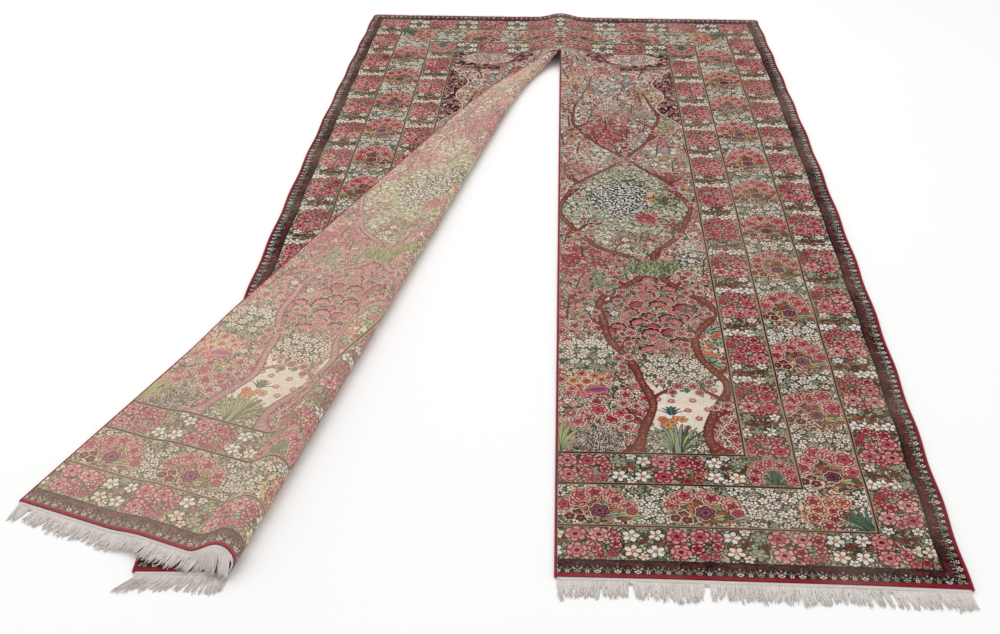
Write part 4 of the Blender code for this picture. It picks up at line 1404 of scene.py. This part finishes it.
def slab_bake(across, along, fronts, backs, is_outer, box, back_lift, rim):
    """A slab's place in the map that bakes use: the front fills box, the back lies back_lift above it, and the
    walls frame the front, moved outwards by rim where they meet the back. across and along run from 0 to 1, and
    fronts and backs count the faces of both sides."""
    left, low, width, height = box
    made = np.stack([left + width * across, low + height * along], axis=-1)
    made[fronts : fronts + backs, :, 1] += back_lift
    for axis, share in ((0, across), (1, along)):
        way = np.where(share >= 1 - 1e-6, rim, 0.0) - np.where(share <= 1e-6, rim, 0.0)
        made[fronts + backs :, :, axis] += (way * is_outer)[fronts + backs :]
    return made


def tubes(centres, across, up, radius):
    """Closed tubes, each along a row of centres: a ring of points round each centre, at radius times the cosine
    along across plus the sine along up. radius has a value for each tube, ring and point of a ring. Returns the
    points and quads, tube after tube."""
    count, rings, sides = radius.shape
    turn = (np.arange(sides) * 2 * math.pi / sides)[:, None]
    ring = across[:, :, None] * np.cos(turn) + up[:, :, None] * np.sin(turn)
    points = (centres[:, :, None] + ring * radius[..., None]).reshape(-1, 3)
    ends = np.arange(sides)[::-1], np.arange(sides) + (rings - 1) * sides
    caps = [end[[0, i, i + 1, i + 2]] for end in ends for i in range(1, sides - 2, 2)]
    one = np.concatenate([grid_faces(rings, sides, wrap=True), caps])
    return points, (one + (np.arange(count) * rings * sides)[:, None, None]).reshape(-1, 4)


def cord_tube(u, start, stop, diameter):
    """An overcast cord along the line at u: a tube whose radius swells and sinks as the wool winds round it."""
    rings = int(round((stop - start) / WRAP_PITCH * RINGS_A_WRAP)) + 1
    v = np.linspace(start, stop, rings)
    centres = place(u, v)
    centres[:, 2] += bpy.context.scene.rug_looks.ripple * ripple(centres)
    up = facing(u, v)
    along = unit(np.gradient(centres, axis=0))
    across = unit(np.cross(along, up))
    turn = np.arange(CORD_SIDES) * 2 * math.pi / CORD_SIDES
    winding = np.cos(2 * math.pi * v[:, None] / WRAP_PITCH + turn[None, :])
    radius = diameter / 2 * (1 - WRAP_DEPTH + WRAP_DEPTH * winding)
    return tubes(centres[None], across[None], np.cross(across, along)[None], radius[None])


def face_place(corners, pitch, count):
    """The column or row of the chart that each face lies in, and how far along it each corner lies, 0 to 1."""
    number = np.clip(np.floor(corners.mean(axis=1) / pitch), 0, count - 1).astype(int)
    return number, corners / pitch - number[:, None]


def cord_maps(faces, rings, side, cord, left):
    """A cord's corners laid flat, and in a column of the map for bakes that starts at left."""
    at, start, stop, _ = cord
    ring, step = faces // CORD_SIDES, faces % CORD_SIDES
    step = np.where(step < step[:, :1], CORD_SIDES, step)
    share = ring / (rings - 1)
    flat = (at * side + HALF) / LENGTH + step * CORD_MAP_STEP, mixed(start, stop, share) / LENGTH
    bake = left + step / CORD_SIDES * CORD_BAKE_WIDTH, mixed(BAKE_MARGIN, 1 - BAKE_MARGIN, share)
    return np.stack(flat, axis=-1), np.stack(bake, axis=-1)


def set_maps(mesh, flat, bake):
    """Gives the mesh its cloth laid flat, and a map for bakes in which no two faces share a place."""
    add_map(mesh, "Cloth", np.concatenate(flat))
    add_map(mesh, "OFBake", np.concatenate(bake))
    mesh.uv_layers.active = mesh.uv_layers["Cloth"]


def rug_section(name, side, first, last, blocks):
    """A length of one half: the pile cloth as a slab, its overcast side cord, and the slit's cord beside it."""
    u, v, w = section_grid(side, first, last)
    points, front, back, walls = slab(u, v, THICKNESS)
    cloth = np.concatenate([front, back, walls])
    low_v, high_v = v[0, 0], v[-1, 0]
    cords = [(HALF - SIDE_CORD / 2, low_v, high_v, SIDE_CORD)]
    slit_stop = min(high_v, SLIT_END - SLIT_CORD_STOP)
    if slit_stop > low_v + WRAP_PITCH:
        cords.append((SLIT_HALF - SLIT_GAP - SLIT_CORD / 2, low_v, slit_stop, SLIT_CORD))
    tubes = [cord_tube(side * at, start, stop, diameter) for at, start, stop, diameter in cords]
    all_points = [points] + [tube_points for tube_points, _ in tubes]
    starts = np.cumsum([len(part) for part in all_points])
    cord_faces = [tube_faces + start for (_, tube_faces), start in zip(tubes, starts)]
    faces = np.concatenate([cloth, *cord_faces])
    item = mesh_object(name, np.concatenate(all_points), faces, CLOTH_CREASE)
    mesh = item.data
    for finish, make in (("knotted_pile", pile_finish), ("knotted_back", back_finish), ("wound_wool", cord_finish)):
        mesh.materials.append(material(finish, make))
    beside = len(faces) - len(cloth)
    slots = np.repeat([0, 1, 0, 2], [len(front), len(back), len(walls), beside])
    mesh.polygons.foreach_set("material_index", slots.astype(np.int32))
    corner_u, corner_w = np.abs(u.ravel())[cloth % u.size], w.ravel()[cloth % u.size]
    column_number, across = face_place(corner_u, FACE_WIDTH, FACE_COLUMNS)
    row_number, along = face_place(corner_w, FACE_LENGTH, FACE_ROWS)
    in_face = np.stack([across * KNOTS_ACROSS, along * KNOTS_ALONG, np.zeros_like(across)], axis=-1)
    knots = np.concatenate([blocks[row_number, column_number], np.zeros((beside, 3))])
    add_attribute(mesh, "knots", "FACE", knots)
    add_attribute(mesh, "in_face", "CORNER", np.concatenate([in_face, np.zeros((beside, 4, 3))]))
    flat = [np.stack([corner_u * side + HALF, corner_w], axis=-1) / LENGTH]
    start_u = u[:, 0].mean() if side > 0 else -u[:, -1].mean()
    across = np.clip((corner_u - start_u) / (SHEET_HALF - start_u), 0, 1)
    along = (corner_w - w[0, 0]) / (w[-1, 0] - w[0, 0])
    box = (BAKE_MARGIN, BAKE_MARGIN, BAKE_ACROSS, BAKE_ALONG)
    bake = [slab_bake(across, along, len(front), len(back), cloth >= u.size, box, BAKE_LIFT, BAKE_RIM)]
    for (tube_points, tube_faces), cord, left in zip(tubes, cords, CORD_BAKE):
        for laid, part in zip((flat, bake), cord_maps(tube_faces, len(tube_points) // CORD_SIDES, side, cord, left)):
            laid.append(part)
    set_maps(mesh, flat, bake)
    return item


def add_half(side):
    """The sections of one half, each attached to the root body; the solids' pile cloth and cords that they stand in
    for are hidden.
    """
    label, held = ("right", "laid") if side > 0 else ("left", "folded")
    blocks = chart_blocks(bpy.context.scene.rug_looks.seed)
    edges = np.linspace(0, FACE_ROWS, SECTIONS + 1).astype(int)
    for number, (first, last) in enumerate(zip(edges, edges[1:]), 1):
        item = rug_section(f"rug_{label}_{number}", side, first, last, blocks)
        low, high = v_of_row(np.array([first, last]) * FACE_LENGTH)
        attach(item, "root")
        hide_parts("pile_cloth", f"side_cord_{label}")
        if low < SLIT_END - WRAP_PITCH:
            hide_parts(f"slit_cord_{label}")


@functools.lru_cache(maxsize=1)
def chart_blocks(seed):
    """Each face's knots as three numbers, one for each row of its knots, in which the inks are the digits to
    BASE from the slit outwards."""
    cells = chart(seed).reshape(FACE_ROWS, KNOTS_ALONG, FACE_COLUMNS, KNOTS_ACROSS)
    codes = (cells * BASE ** np.arange(KNOTS_ACROSS)).sum(axis=3)
    return np.moveaxis(codes, 1, 2)


# --- Fringe ---


def support(x, y, on_flap):
    """The height of what lies under a strand at x, y: the floor, the cloth below or the fringe below."""
    if not on_flap:
        return np.zeros_like(x)
    crease = -crease_run(np.zeros_like(y))[0]
    over_edge = FRINGE_OVER_EDGE * smooth((x - left_side(y) + STEP_DOWN) / STEP_DOWN)
    past_end = smooth((PAST_END - y) / PAST_END_RUN)
    beside = smooth((x - crease) / PAST_CREASE_RUN)
    return mixed(mixed(ledge(x, y), over_edge, past_end), FRINGE_STACK, beside)


def fan(u, v):
    """How far a strand that hangs from the loop swings out, so that the strands land beside each other."""
    x, y = lay_flat(u, v)
    foot, past, _ = fold_place(x, y)
    radius = mixed(LOOP_RADIUS_TOP, LOOP_RADIUS_BOTTOM, down_share(foot))
    turn = np.where(u < 0, past / radius, 0.0)
    rising = FAN_SPREAD * turn - np.sin(turn)
    returning = FAN_RETURN - FAN_SPREAD * (turn - math.pi / 2) - np.sin(np.minimum(turn, math.pi))
    returning = np.where(turn < math.pi + FAN_OVERRUN, np.maximum(returning, 0.0), 0.0)
    return radius * np.where(turn < math.pi / 2, rising, returning)


def strand_lines(u, reach, sway, end, out, on_flap):
    """Points at the distances reach along each strand: it leaves the strip in line with the cloth, falls in an
    even S to what is below it and lies level there. Returns the points and the level direction beside each."""
    root = place(u, end + out * STRIP_DEPTH)
    ahead = place(u, end + out * (STRIP_DEPTH + ROOT_STEP))
    heading = unit(ahead[..., :2] - root[..., :2])
    aim = root[..., :2] + heading * reach[..., None]
    low = support(aim[..., 0] + CENTRE[0], aim[..., 1] + CENTRE[1], on_flap) + FRINGE_THICKNESS / 2
    fall = np.maximum(root[..., 2] - low, 0.0)
    share = smooth(reach / np.maximum(LEAST_FALL_RUN, FALL_RUN * fall))
    advance = np.sqrt(np.maximum(reach**2 - (fall * share) ** 2, (LEAST_ADVANCE * reach) ** 2))
    swing = (sway + fan(u, np.full_like(u, end))) * smooth(reach / FRINGE_LENGTH)
    plan = root[..., :2] + heading * advance[..., None]
    lines = np.stack([plan[..., 0] + swing, plan[..., 1], root[..., 2] - fall * share], axis=-1)
    turned = out if on_flap else -out
    level = np.stack([-turned * heading[..., 1], turned * heading[..., 0], np.zeros_like(share)], axis=-1)
    hanging = unit(place(u + SIDE_STEP, end) - place(u - SIDE_STEP, end))
    return lines, unit(mixed(hanging, level, share[..., None]))


def fringe_row(start, stop, end, out, pitch, length, on_flap=False, sweep=0.0, comb=0.0, bare=slice(0, 0), salt=0):
    """The strands of one row of fringe: locks of them, spread evenly at the strip and drawn together towards the
    tip, each with its own length, wave and height. sweep and comb push the tips aside towards the row's end and at
    its start. Returns their u, lines, sideways directions, radii and tones."""
    looks = bpy.context.scene.rug_looks
    chance = np.random.default_rng(looks.seed + salt)
    count, strands = int(round((stop - start) / pitch)), looks.strands
    edges = np.linspace(start, stop, count + 1)
    middle = (edges[:-1] + edges[1:]) / 2
    slow = np.sin(middle * 31.0 + salt) * 0.5 + np.sin(middle * 57.0 + 2.0) * 0.5
    lengths = length * (0.9 + 0.1 * slow + chance.uniform(-0.1, 0.08, count))
    place_in_row = (middle - start) / (stop - start)
    sways = SLOW_WAVE * slow + sweep * place_in_row**8 + comb * (1 - place_in_row)
    lengths[chance.uniform(size=count) < WORN_SHARE * (comb == 0)] *= STUB_SHARE
    kept = np.delete(np.arange(count), bare)
    own = np.repeat(kept, strands)
    spread = np.tile(np.linspace(-0.5, 0.5, strands), len(kept)) + chance.uniform(-0.06, 0.06, len(own))
    draw_in = np.repeat(chance.uniform(-0.1, 0.75, len(kept)), strands)
    own_length = lengths[own] * chance.uniform(0.76, 1.08, len(own))
    lean = np.repeat(chance.normal(0.0, 0.0024, len(kept)), strands) + chance.normal(0.0, 0.0015, len(own))
    phase, waves = chance.uniform(0, 2 * math.pi, len(own)), chance.uniform(0.7, 1.6, len(own))
    lift = chance.uniform(-0.0007, 0.0009, len(own))
    share = np.linspace(0.0, 1.0, STRAND_RINGS)
    u = np.repeat((middle[own] + spread * pitch)[:, None], STRAND_RINGS, axis=1)
    lines, beside = strand_lines(u, own_length[:, None] * share, sways[own][:, None], end, out, on_flap)
    towards = -spread * pitch * draw_in
    aside = (towards + lean)[:, None] * share**1.3
    aside = aside + STRAND_WAVE * np.sin(2 * math.pi * waves[:, None] * share + phase[:, None]) * share
    lines = lines + beside * aside[..., None]
    lines[..., 2] += lift[:, None] * smooth(share * 4)
    own_width = chance.uniform(0.85, 1.15, len(own))[:, None]
    radius = mixed(looks.strand_radius, looks.strand_radius * 0.55, share**2) * own_width
    lines[..., 2] = np.maximum(lines[..., 2], radius * 1.05)
    return u[:, 0], lines, beside, radius, chance.uniform(0, 1, len(own)), own_length


def strand_maps(strands, rings, lengths):
    """The corners of every strand, round and along it, laid flat, and in the map for bakes in a cell of its own."""
    number = np.arange((rings - 1) * 4)
    sides = (number % 4)[:, None] + np.array([0, 1, 1, 0])
    steps = (number // 4)[:, None] + np.array([0, 0, 1, 1])
    cap_steps = np.array([[0, 0, -0.2, -0.2], [0.2, 0.2, 0, 0]]) + np.array([[0], [rings - 1]])
    sides = np.concatenate([sides, [[0, 1, 1, 0], [0, 1, 1, 0]]]) / 4
    steps = np.concatenate([steps, cap_steps]) / (rings - 1)
    across = int(math.ceil(math.sqrt(strands)))
    down = int(math.ceil(strands / across))
    cell = np.arange(strands)[:, None, None]
    right = (cell % across + CELL_MARGIN + CELL_SHARE * sides) / across
    up = STRIP_BAKE + (1 - STRIP_BAKE) * ((cell // across + CELL_MARGIN + CELL_SHARE * steps) / down)
    flat = np.stack(np.broadcast_arrays(sides, steps * lengths[:, None, None]), axis=-1)
    return flat.reshape(-1, 4, 2), np.stack([right, up], axis=-1).reshape(-1, 4, 2)


def fringe_piece(name, row, start, stop, end, out):
    """The strands of a row between start and stop as four-sided tubes, with the woven strip that they grow from."""
    inside = (row[0] >= start) & (row[0] < stop)
    _, lines, beside, radius, tone, lengths = (values[inside] for values in row)
    along = unit(np.gradient(lines, axis=1))
    strands, rings = radius.shape
    points, faces = tubes(lines, beside, unit(np.cross(beside, along)), np.repeat(radius[..., None], 4, axis=2))
    columns = max(int(round((stop - start) / STRIP_FACE)), 2)
    strip_u, strip_v = np.meshgrid(
        np.linspace(start, stop, columns + 1), end + out * np.linspace(JOINT_GAP, STRIP_DEPTH + STRIP_OVERLAP, 5)
    )
    if out < 0:
        strip_u, strip_v = strip_u[::-1], strip_v[::-1]
    strip_points, front, back, walls = slab(strip_u, strip_v, STRIP_THICKNESS)
    strip = np.concatenate([front, back, walls])
    all_faces = np.concatenate([faces, strip + len(points)])
    item = mesh_object(name, np.concatenate([points, strip_points]), all_faces, FRINGE_CREASE)
    mesh = item.data
    mesh.materials.append(material("cotton_ends", cotton_finish))
    strand = np.zeros((len(mesh.vertices), 3))
    strand[: len(points), 0] = np.repeat(tone, rings * 4)
    strand[len(points) :, :2] = (STRIP_TONE, 1.0)
    add_attribute(mesh, "strand", "POINT", strand)
    flat, bake = strand_maps(strands, rings, lengths)
    corner_u, corner_v = strip_u.ravel()[strip % strip_u.size], strip_v.ravel()[strip % strip_u.size]
    across, up = (corner_u - start) / (stop - start), (corner_v - strip_v.min()) / np.ptp(strip_v)
    box = (BAKE_MARGIN, BAKE_MARGIN, 1 - 2 * BAKE_MARGIN, STRIP_BAKE * 0.36)
    strip_bake = slab_bake(across, up, len(front), len(back), strip >= strip_u.size, box, STRIP_BAKE * 0.48, 0.003)
    set_maps(mesh, [flat, np.stack([corner_u, corner_v], axis=-1)], [bake, strip_bake])
    return item


def declare_fringe(item, node):
    """Attaches the item to the root body and hides the solids' node of this name, which it stands in for."""
    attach(item, "root")
    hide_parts(node)


def fold_line():
    """The u at the near end where the cloth turns over the loop."""
    quarter_turn = math.pi / 2 * LOOP_RADIUS_BOTTOM / math.cos(math.atan(CREASE_SLOPE))
    return float(cloth_u(quarter_turn - crease_run(0.0)[0], 0.0))


# --- Stage ---


def add_floor():
    """A flat square under the rug."""
    across = np.linspace(-FLOOR_HALF, FLOOR_HALF, FLOOR_POINTS)
    x, y = np.meshgrid(across, across)
    points = np.stack([x, y, np.zeros_like(x)], axis=-1).reshape(-1, 3)
    item = mesh_object("floor", points, grid_faces(FLOOR_POINTS, FLOOR_POINTS), math.pi)
    item.data.materials.append(material("pale_floor", floor_finish))


def add_light(name, at, size, watts, colour):
    """A square soft box at this place that faces the middle of the rug."""
    clear_object(name)
    light = bpy.data.lights.new(name, "AREA")
    light.shape, light.size, light.energy, light.color = "SQUARE", size, watts, colour
    turned = (-Vector(at)).to_track_quat("-Z", "Y").to_matrix().to_4x4()
    link_object(name, light).matrix_world = Matrix.Translation(at) @ turned


def add_daylight(strength):
    """An even white surround."""
    world = bpy.data.worlds.get("studio") or bpy.data.worlds.new("studio")
    world.use_nodes = True
    inputs = world.node_tree.nodes["Background"].inputs
    inputs["Color"].default_value, inputs["Strength"].default_value = (1, 1, 1, 1), strength
    bpy.context.scene.world = world


def add_camera():
    """The photograph's view: level directions turned by CAMERA_YAW, tipped down by CAMERA_PITCH, then rolled."""
    clear_object("camera")
    right = Vector((math.cos(CAMERA_YAW), math.sin(CAMERA_YAW), 0))
    ahead = Vector((-math.sin(CAMERA_YAW), math.cos(CAMERA_YAW), 0))
    forward = ahead * math.cos(CAMERA_PITCH) + Vector((0, 0, -math.sin(CAMERA_PITCH)))
    up = ahead * math.sin(CAMERA_PITCH) + Vector((0, 0, math.cos(CAMERA_PITCH)))
    tilted_right = right * math.cos(CAMERA_ROLL) + up * math.sin(CAMERA_ROLL)
    tilted_up = up * math.cos(CAMERA_ROLL) - right * math.sin(CAMERA_ROLL)
    data = bpy.data.cameras.new("camera")
    data.lens, data.sensor_width, data.sensor_fit = CAMERA_LENS, 36, "HORIZONTAL"
    turned = Matrix((tilted_right, tilted_up, -forward)).transposed().to_4x4()
    turned.translation = Vector(CAMERA_PLACE)
    camera = link_object("camera", data)
    camera.matrix_world = turned
    bpy.context.scene.camera = camera


# --- Add-on ---


def colour_property(label, description, rgb):
    """A colour, given as 0 to 255."""
    return FloatVectorProperty(
        name=label, description=description, default=linear(rgb), size=3, min=0.0, max=1.0, subtype="COLOR"
    )


def length_property(label, description, default, low, high):
    """A length in metres."""
    return FloatProperty(name=label, description=description, default=default, min=low, max=high, unit="LENGTH")


def share_property(label, description, default, high=1.0):
    """A share of one."""
    return FloatProperty(name=label, description=description, default=default, min=0.0, max=high, subtype="FACTOR")


def power_property(label, description, default):
    """A lamp's power in watts."""
    return FloatProperty(name=label, description=description, default=default, min=0.0, unit="POWER")


class RUG_PG_dyes(PropertyGroup):
    """The wools that the rug is knotted from."""

    __annotations__ = {
        name: colour_property(name.replace("_", " ").capitalize(), f"Colour of the {name.replace('_', ' ')} wool", rgb)
        for name, *rgb in DYES
    }


class RUG_PG_looks(PropertyGroup):
    """Sizes and colours of the cloth's surface, the cords and the fringe."""

    seed: IntProperty(name="Seed", description="Which of the like patterns and fringes is made", default=SEED, min=0)
    ripple: length_property("Ripple", "Height of the low waves in the lying cloth", 0.0012, 0.0, 0.002)
    tuft_height: length_property("Tuft relief", "Height of one knot's tuft in the relief", 0.0004, 0.0, 0.002)
    tuft_tone: share_property("Tuft tone", "How far one tuft's brightness strays", 0.12, 0.5)
    wear: share_property("Wear", "Share of worn wool where the pile is worn most", 0.16)
    worn_wool: colour_property("Worn wool", "Colour that worn pile fades to", (205, 180, 158))
    back_rosy: colour_property("Rosy back", "Colour that red and pink wools fade to on the back", (232, 192, 184))
    back_straw: colour_property("Straw back", "Colour that green and pale wools fade to on the back", (224, 206, 166))
    back_share: share_property("Back fading", "How far the wools on the back are faded", 0.5)
    back_vivid: FloatProperty(
        name="Back vividness", description="Scales the wools' colour on the back before they fade",
        default=1.1, min=0.0, max=2.0,
    )
    weft: colour_property("Weft", "Colour of the cotton between the rows of knots", (214, 196, 176))
    cord_wool: colour_property("Cord wool", "Colour of the overcast edges", (156, 26, 48))
    cord_faded: colour_property("Faded cord wool", "Colour where the overcasting is faded", (120, 30, 44))
    cotton: colour_property("Cotton", "Colour of the fresh fringe", (246, 240, 235))
    cotton_aged: colour_property("Aged cotton", "Colour of the oldest strands", (230, 221, 214))
    cotton_soiled: colour_property("Soiled cotton", "Colour of the fringe where it is soiled", (212, 200, 192))
    strands: IntProperty(
        name="Strands in a lock", description="How many strands a lock of fringe has", default=13, min=3, max=16
    )
    strand_radius: length_property("Strand radius", "Radius of a strand at its root", 0.0009, 0.0003, 0.0015)
    floor: colour_property("Floor", "Colour of the floor", (250, 250, 250))
    surround: FloatProperty(
        name="Surround", description="Strength of the even surround", default=0.8, min=0.0, max=3.0
    )
    key_light: power_property("Key light", "Power of the soft box above the rug", 75.0)
    fill_light: power_property("Fill light", "Power of the soft box behind the camera", 12.0)


class RUG_OT_laid_half(Operator):
    """Builds the half of the rug that lies flat, in lengths"""

    bl_idname = "rug.laid_half"
    bl_label = "Laid half"

    def execute(self, context):
        add_half(1)
        return {"FINISHED"}


class RUG_OT_folded_half(Operator):
    """Builds the half of the rug that is folded back along the crease, in lengths"""

    bl_idname = "rug.folded_half"
    bl_label = "Folded half"

    def execute(self, context):
        add_half(-1)
        return {"FINISHED"}


class RUG_OT_near_fringes(Operator):
    """Builds the fringes of the near end: under the flap, on the flap and on the laid half"""

    bl_idname = "rug.near_fringes"
    bl_label = "Near fringes"

    def execute(self, context):
        split = fold_line()
        rows = (  # node, start, stop, on the flap, sweep, comb, bare
            ("fringe_left_panel", -SHEET_HALF, split - STRIP_SPLIT, False, 0.0, LEFT_COMB, slice(-2, None)),
            ("fringe_flap", split + STRIP_SPLIT, -SLIT_HALF, True, 0.0, 0.0, slice(0, 1)),
            ("fringe_right_panel", SLIT_HALF, SHEET_HALF, False, RIGHT_SWEEP, 0.0, slice(0, 0)),
        )
        for salt, (node, start, stop, on_flap, sweep, comb, bare) in enumerate(rows):
            row = fringe_row(start, stop, 0.0, -1, LOCK_PITCH, FRINGE_LENGTH, on_flap, sweep, comb, bare, salt)
            declare_fringe(fringe_piece(node + "_strands", row, start, stop, 0.0, -1), node)
        return {"FINISHED"}


class RUG_OT_far_fringe(Operator):
    """Builds the short fringe of the far end, in two lengths"""

    bl_idname = "rug.far_fringe"
    bl_label = "Far fringe"

    def execute(self, context):
        row = fringe_row(-SHEET_HALF, SHEET_HALF, LENGTH, 1, TOP_LOCK_PITCH, TOP_FRINGE_LENGTH, salt=3)
        for label, start, stop in (("left", -SHEET_HALF, 0.0), ("right", 0.0, SHEET_HALF)):
            declare_fringe(fringe_piece(f"fringe_top_{label}", row, start, stop, LENGTH, 1), "fringe_top")
        return {"FINISHED"}


class RUG_OT_stage(Operator):
    """Sets the floor, the lights, the surround and the camera"""

    bl_idname = "rug.stage"
    bl_label = "Stage"

    def execute(self, context):
        looks = context.scene.rug_looks
        add_floor()
        add_daylight(looks.surround)
        add_light("key", KEY_PLACE, KEY_SIZE, looks.key_light, KEY_COLOUR)
        add_light("fill", FILL_PLACE, FILL_SIZE, looks.fill_light, FILL_COLOUR)
        add_camera()
        context.scene.view_settings.view_transform = "Standard"
        return {"FINISHED"}


class RUG_PT_panel(Panel):
    """Lists the rug's sizes, colours and pieces"""

    bl_idname = "RUG_PT_panel"
    bl_label = "Garden rug"
    bl_space_type = "VIEW_3D"
    bl_region_type = "UI"
    bl_category = "Rug"

    def draw(self, context):
        for group in (context.scene.rug_looks, context.scene.rug_dyes):
            box = self.layout.box()
            for name in group.bl_rna.properties.keys():
                if name not in ("rna_type", "name"):
                    box.prop(group, name)
        for operator in PIECES:
            self.layout.operator(operator.bl_idname)


PIECES = (RUG_OT_laid_half, RUG_OT_folded_half, RUG_OT_near_fringes, RUG_OT_far_fringe, RUG_OT_stage)
CLASSES = (RUG_PG_dyes, RUG_PG_looks, *PIECES, RUG_PT_panel)


def register():
    """Registers the classes and hangs the properties on the scene."""
    for made in CLASSES:
        bpy.utils.register_class(made)
    bpy.types.Scene.rug_dyes = PointerProperty(type=RUG_PG_dyes)
    bpy.types.Scene.rug_looks = PointerProperty(type=RUG_PG_looks)


def unregister():
    """Takes back what register() did."""
    del bpy.types.Scene.rug_looks
    del bpy.types.Scene.rug_dyes
    for made in reversed(CLASSES):
        bpy.utils.unregister_class(made)


def main():
    """Registers the add-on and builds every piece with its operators."""
    register()
    bpy.ops.rug.laid_half()
    bpy.ops.rug.folded_half()
    bpy.ops.rug.near_fringes()
    bpy.ops.rug.far_fringe()
    bpy.ops.rug.stage()


if __name__ == "__main__":
    main()
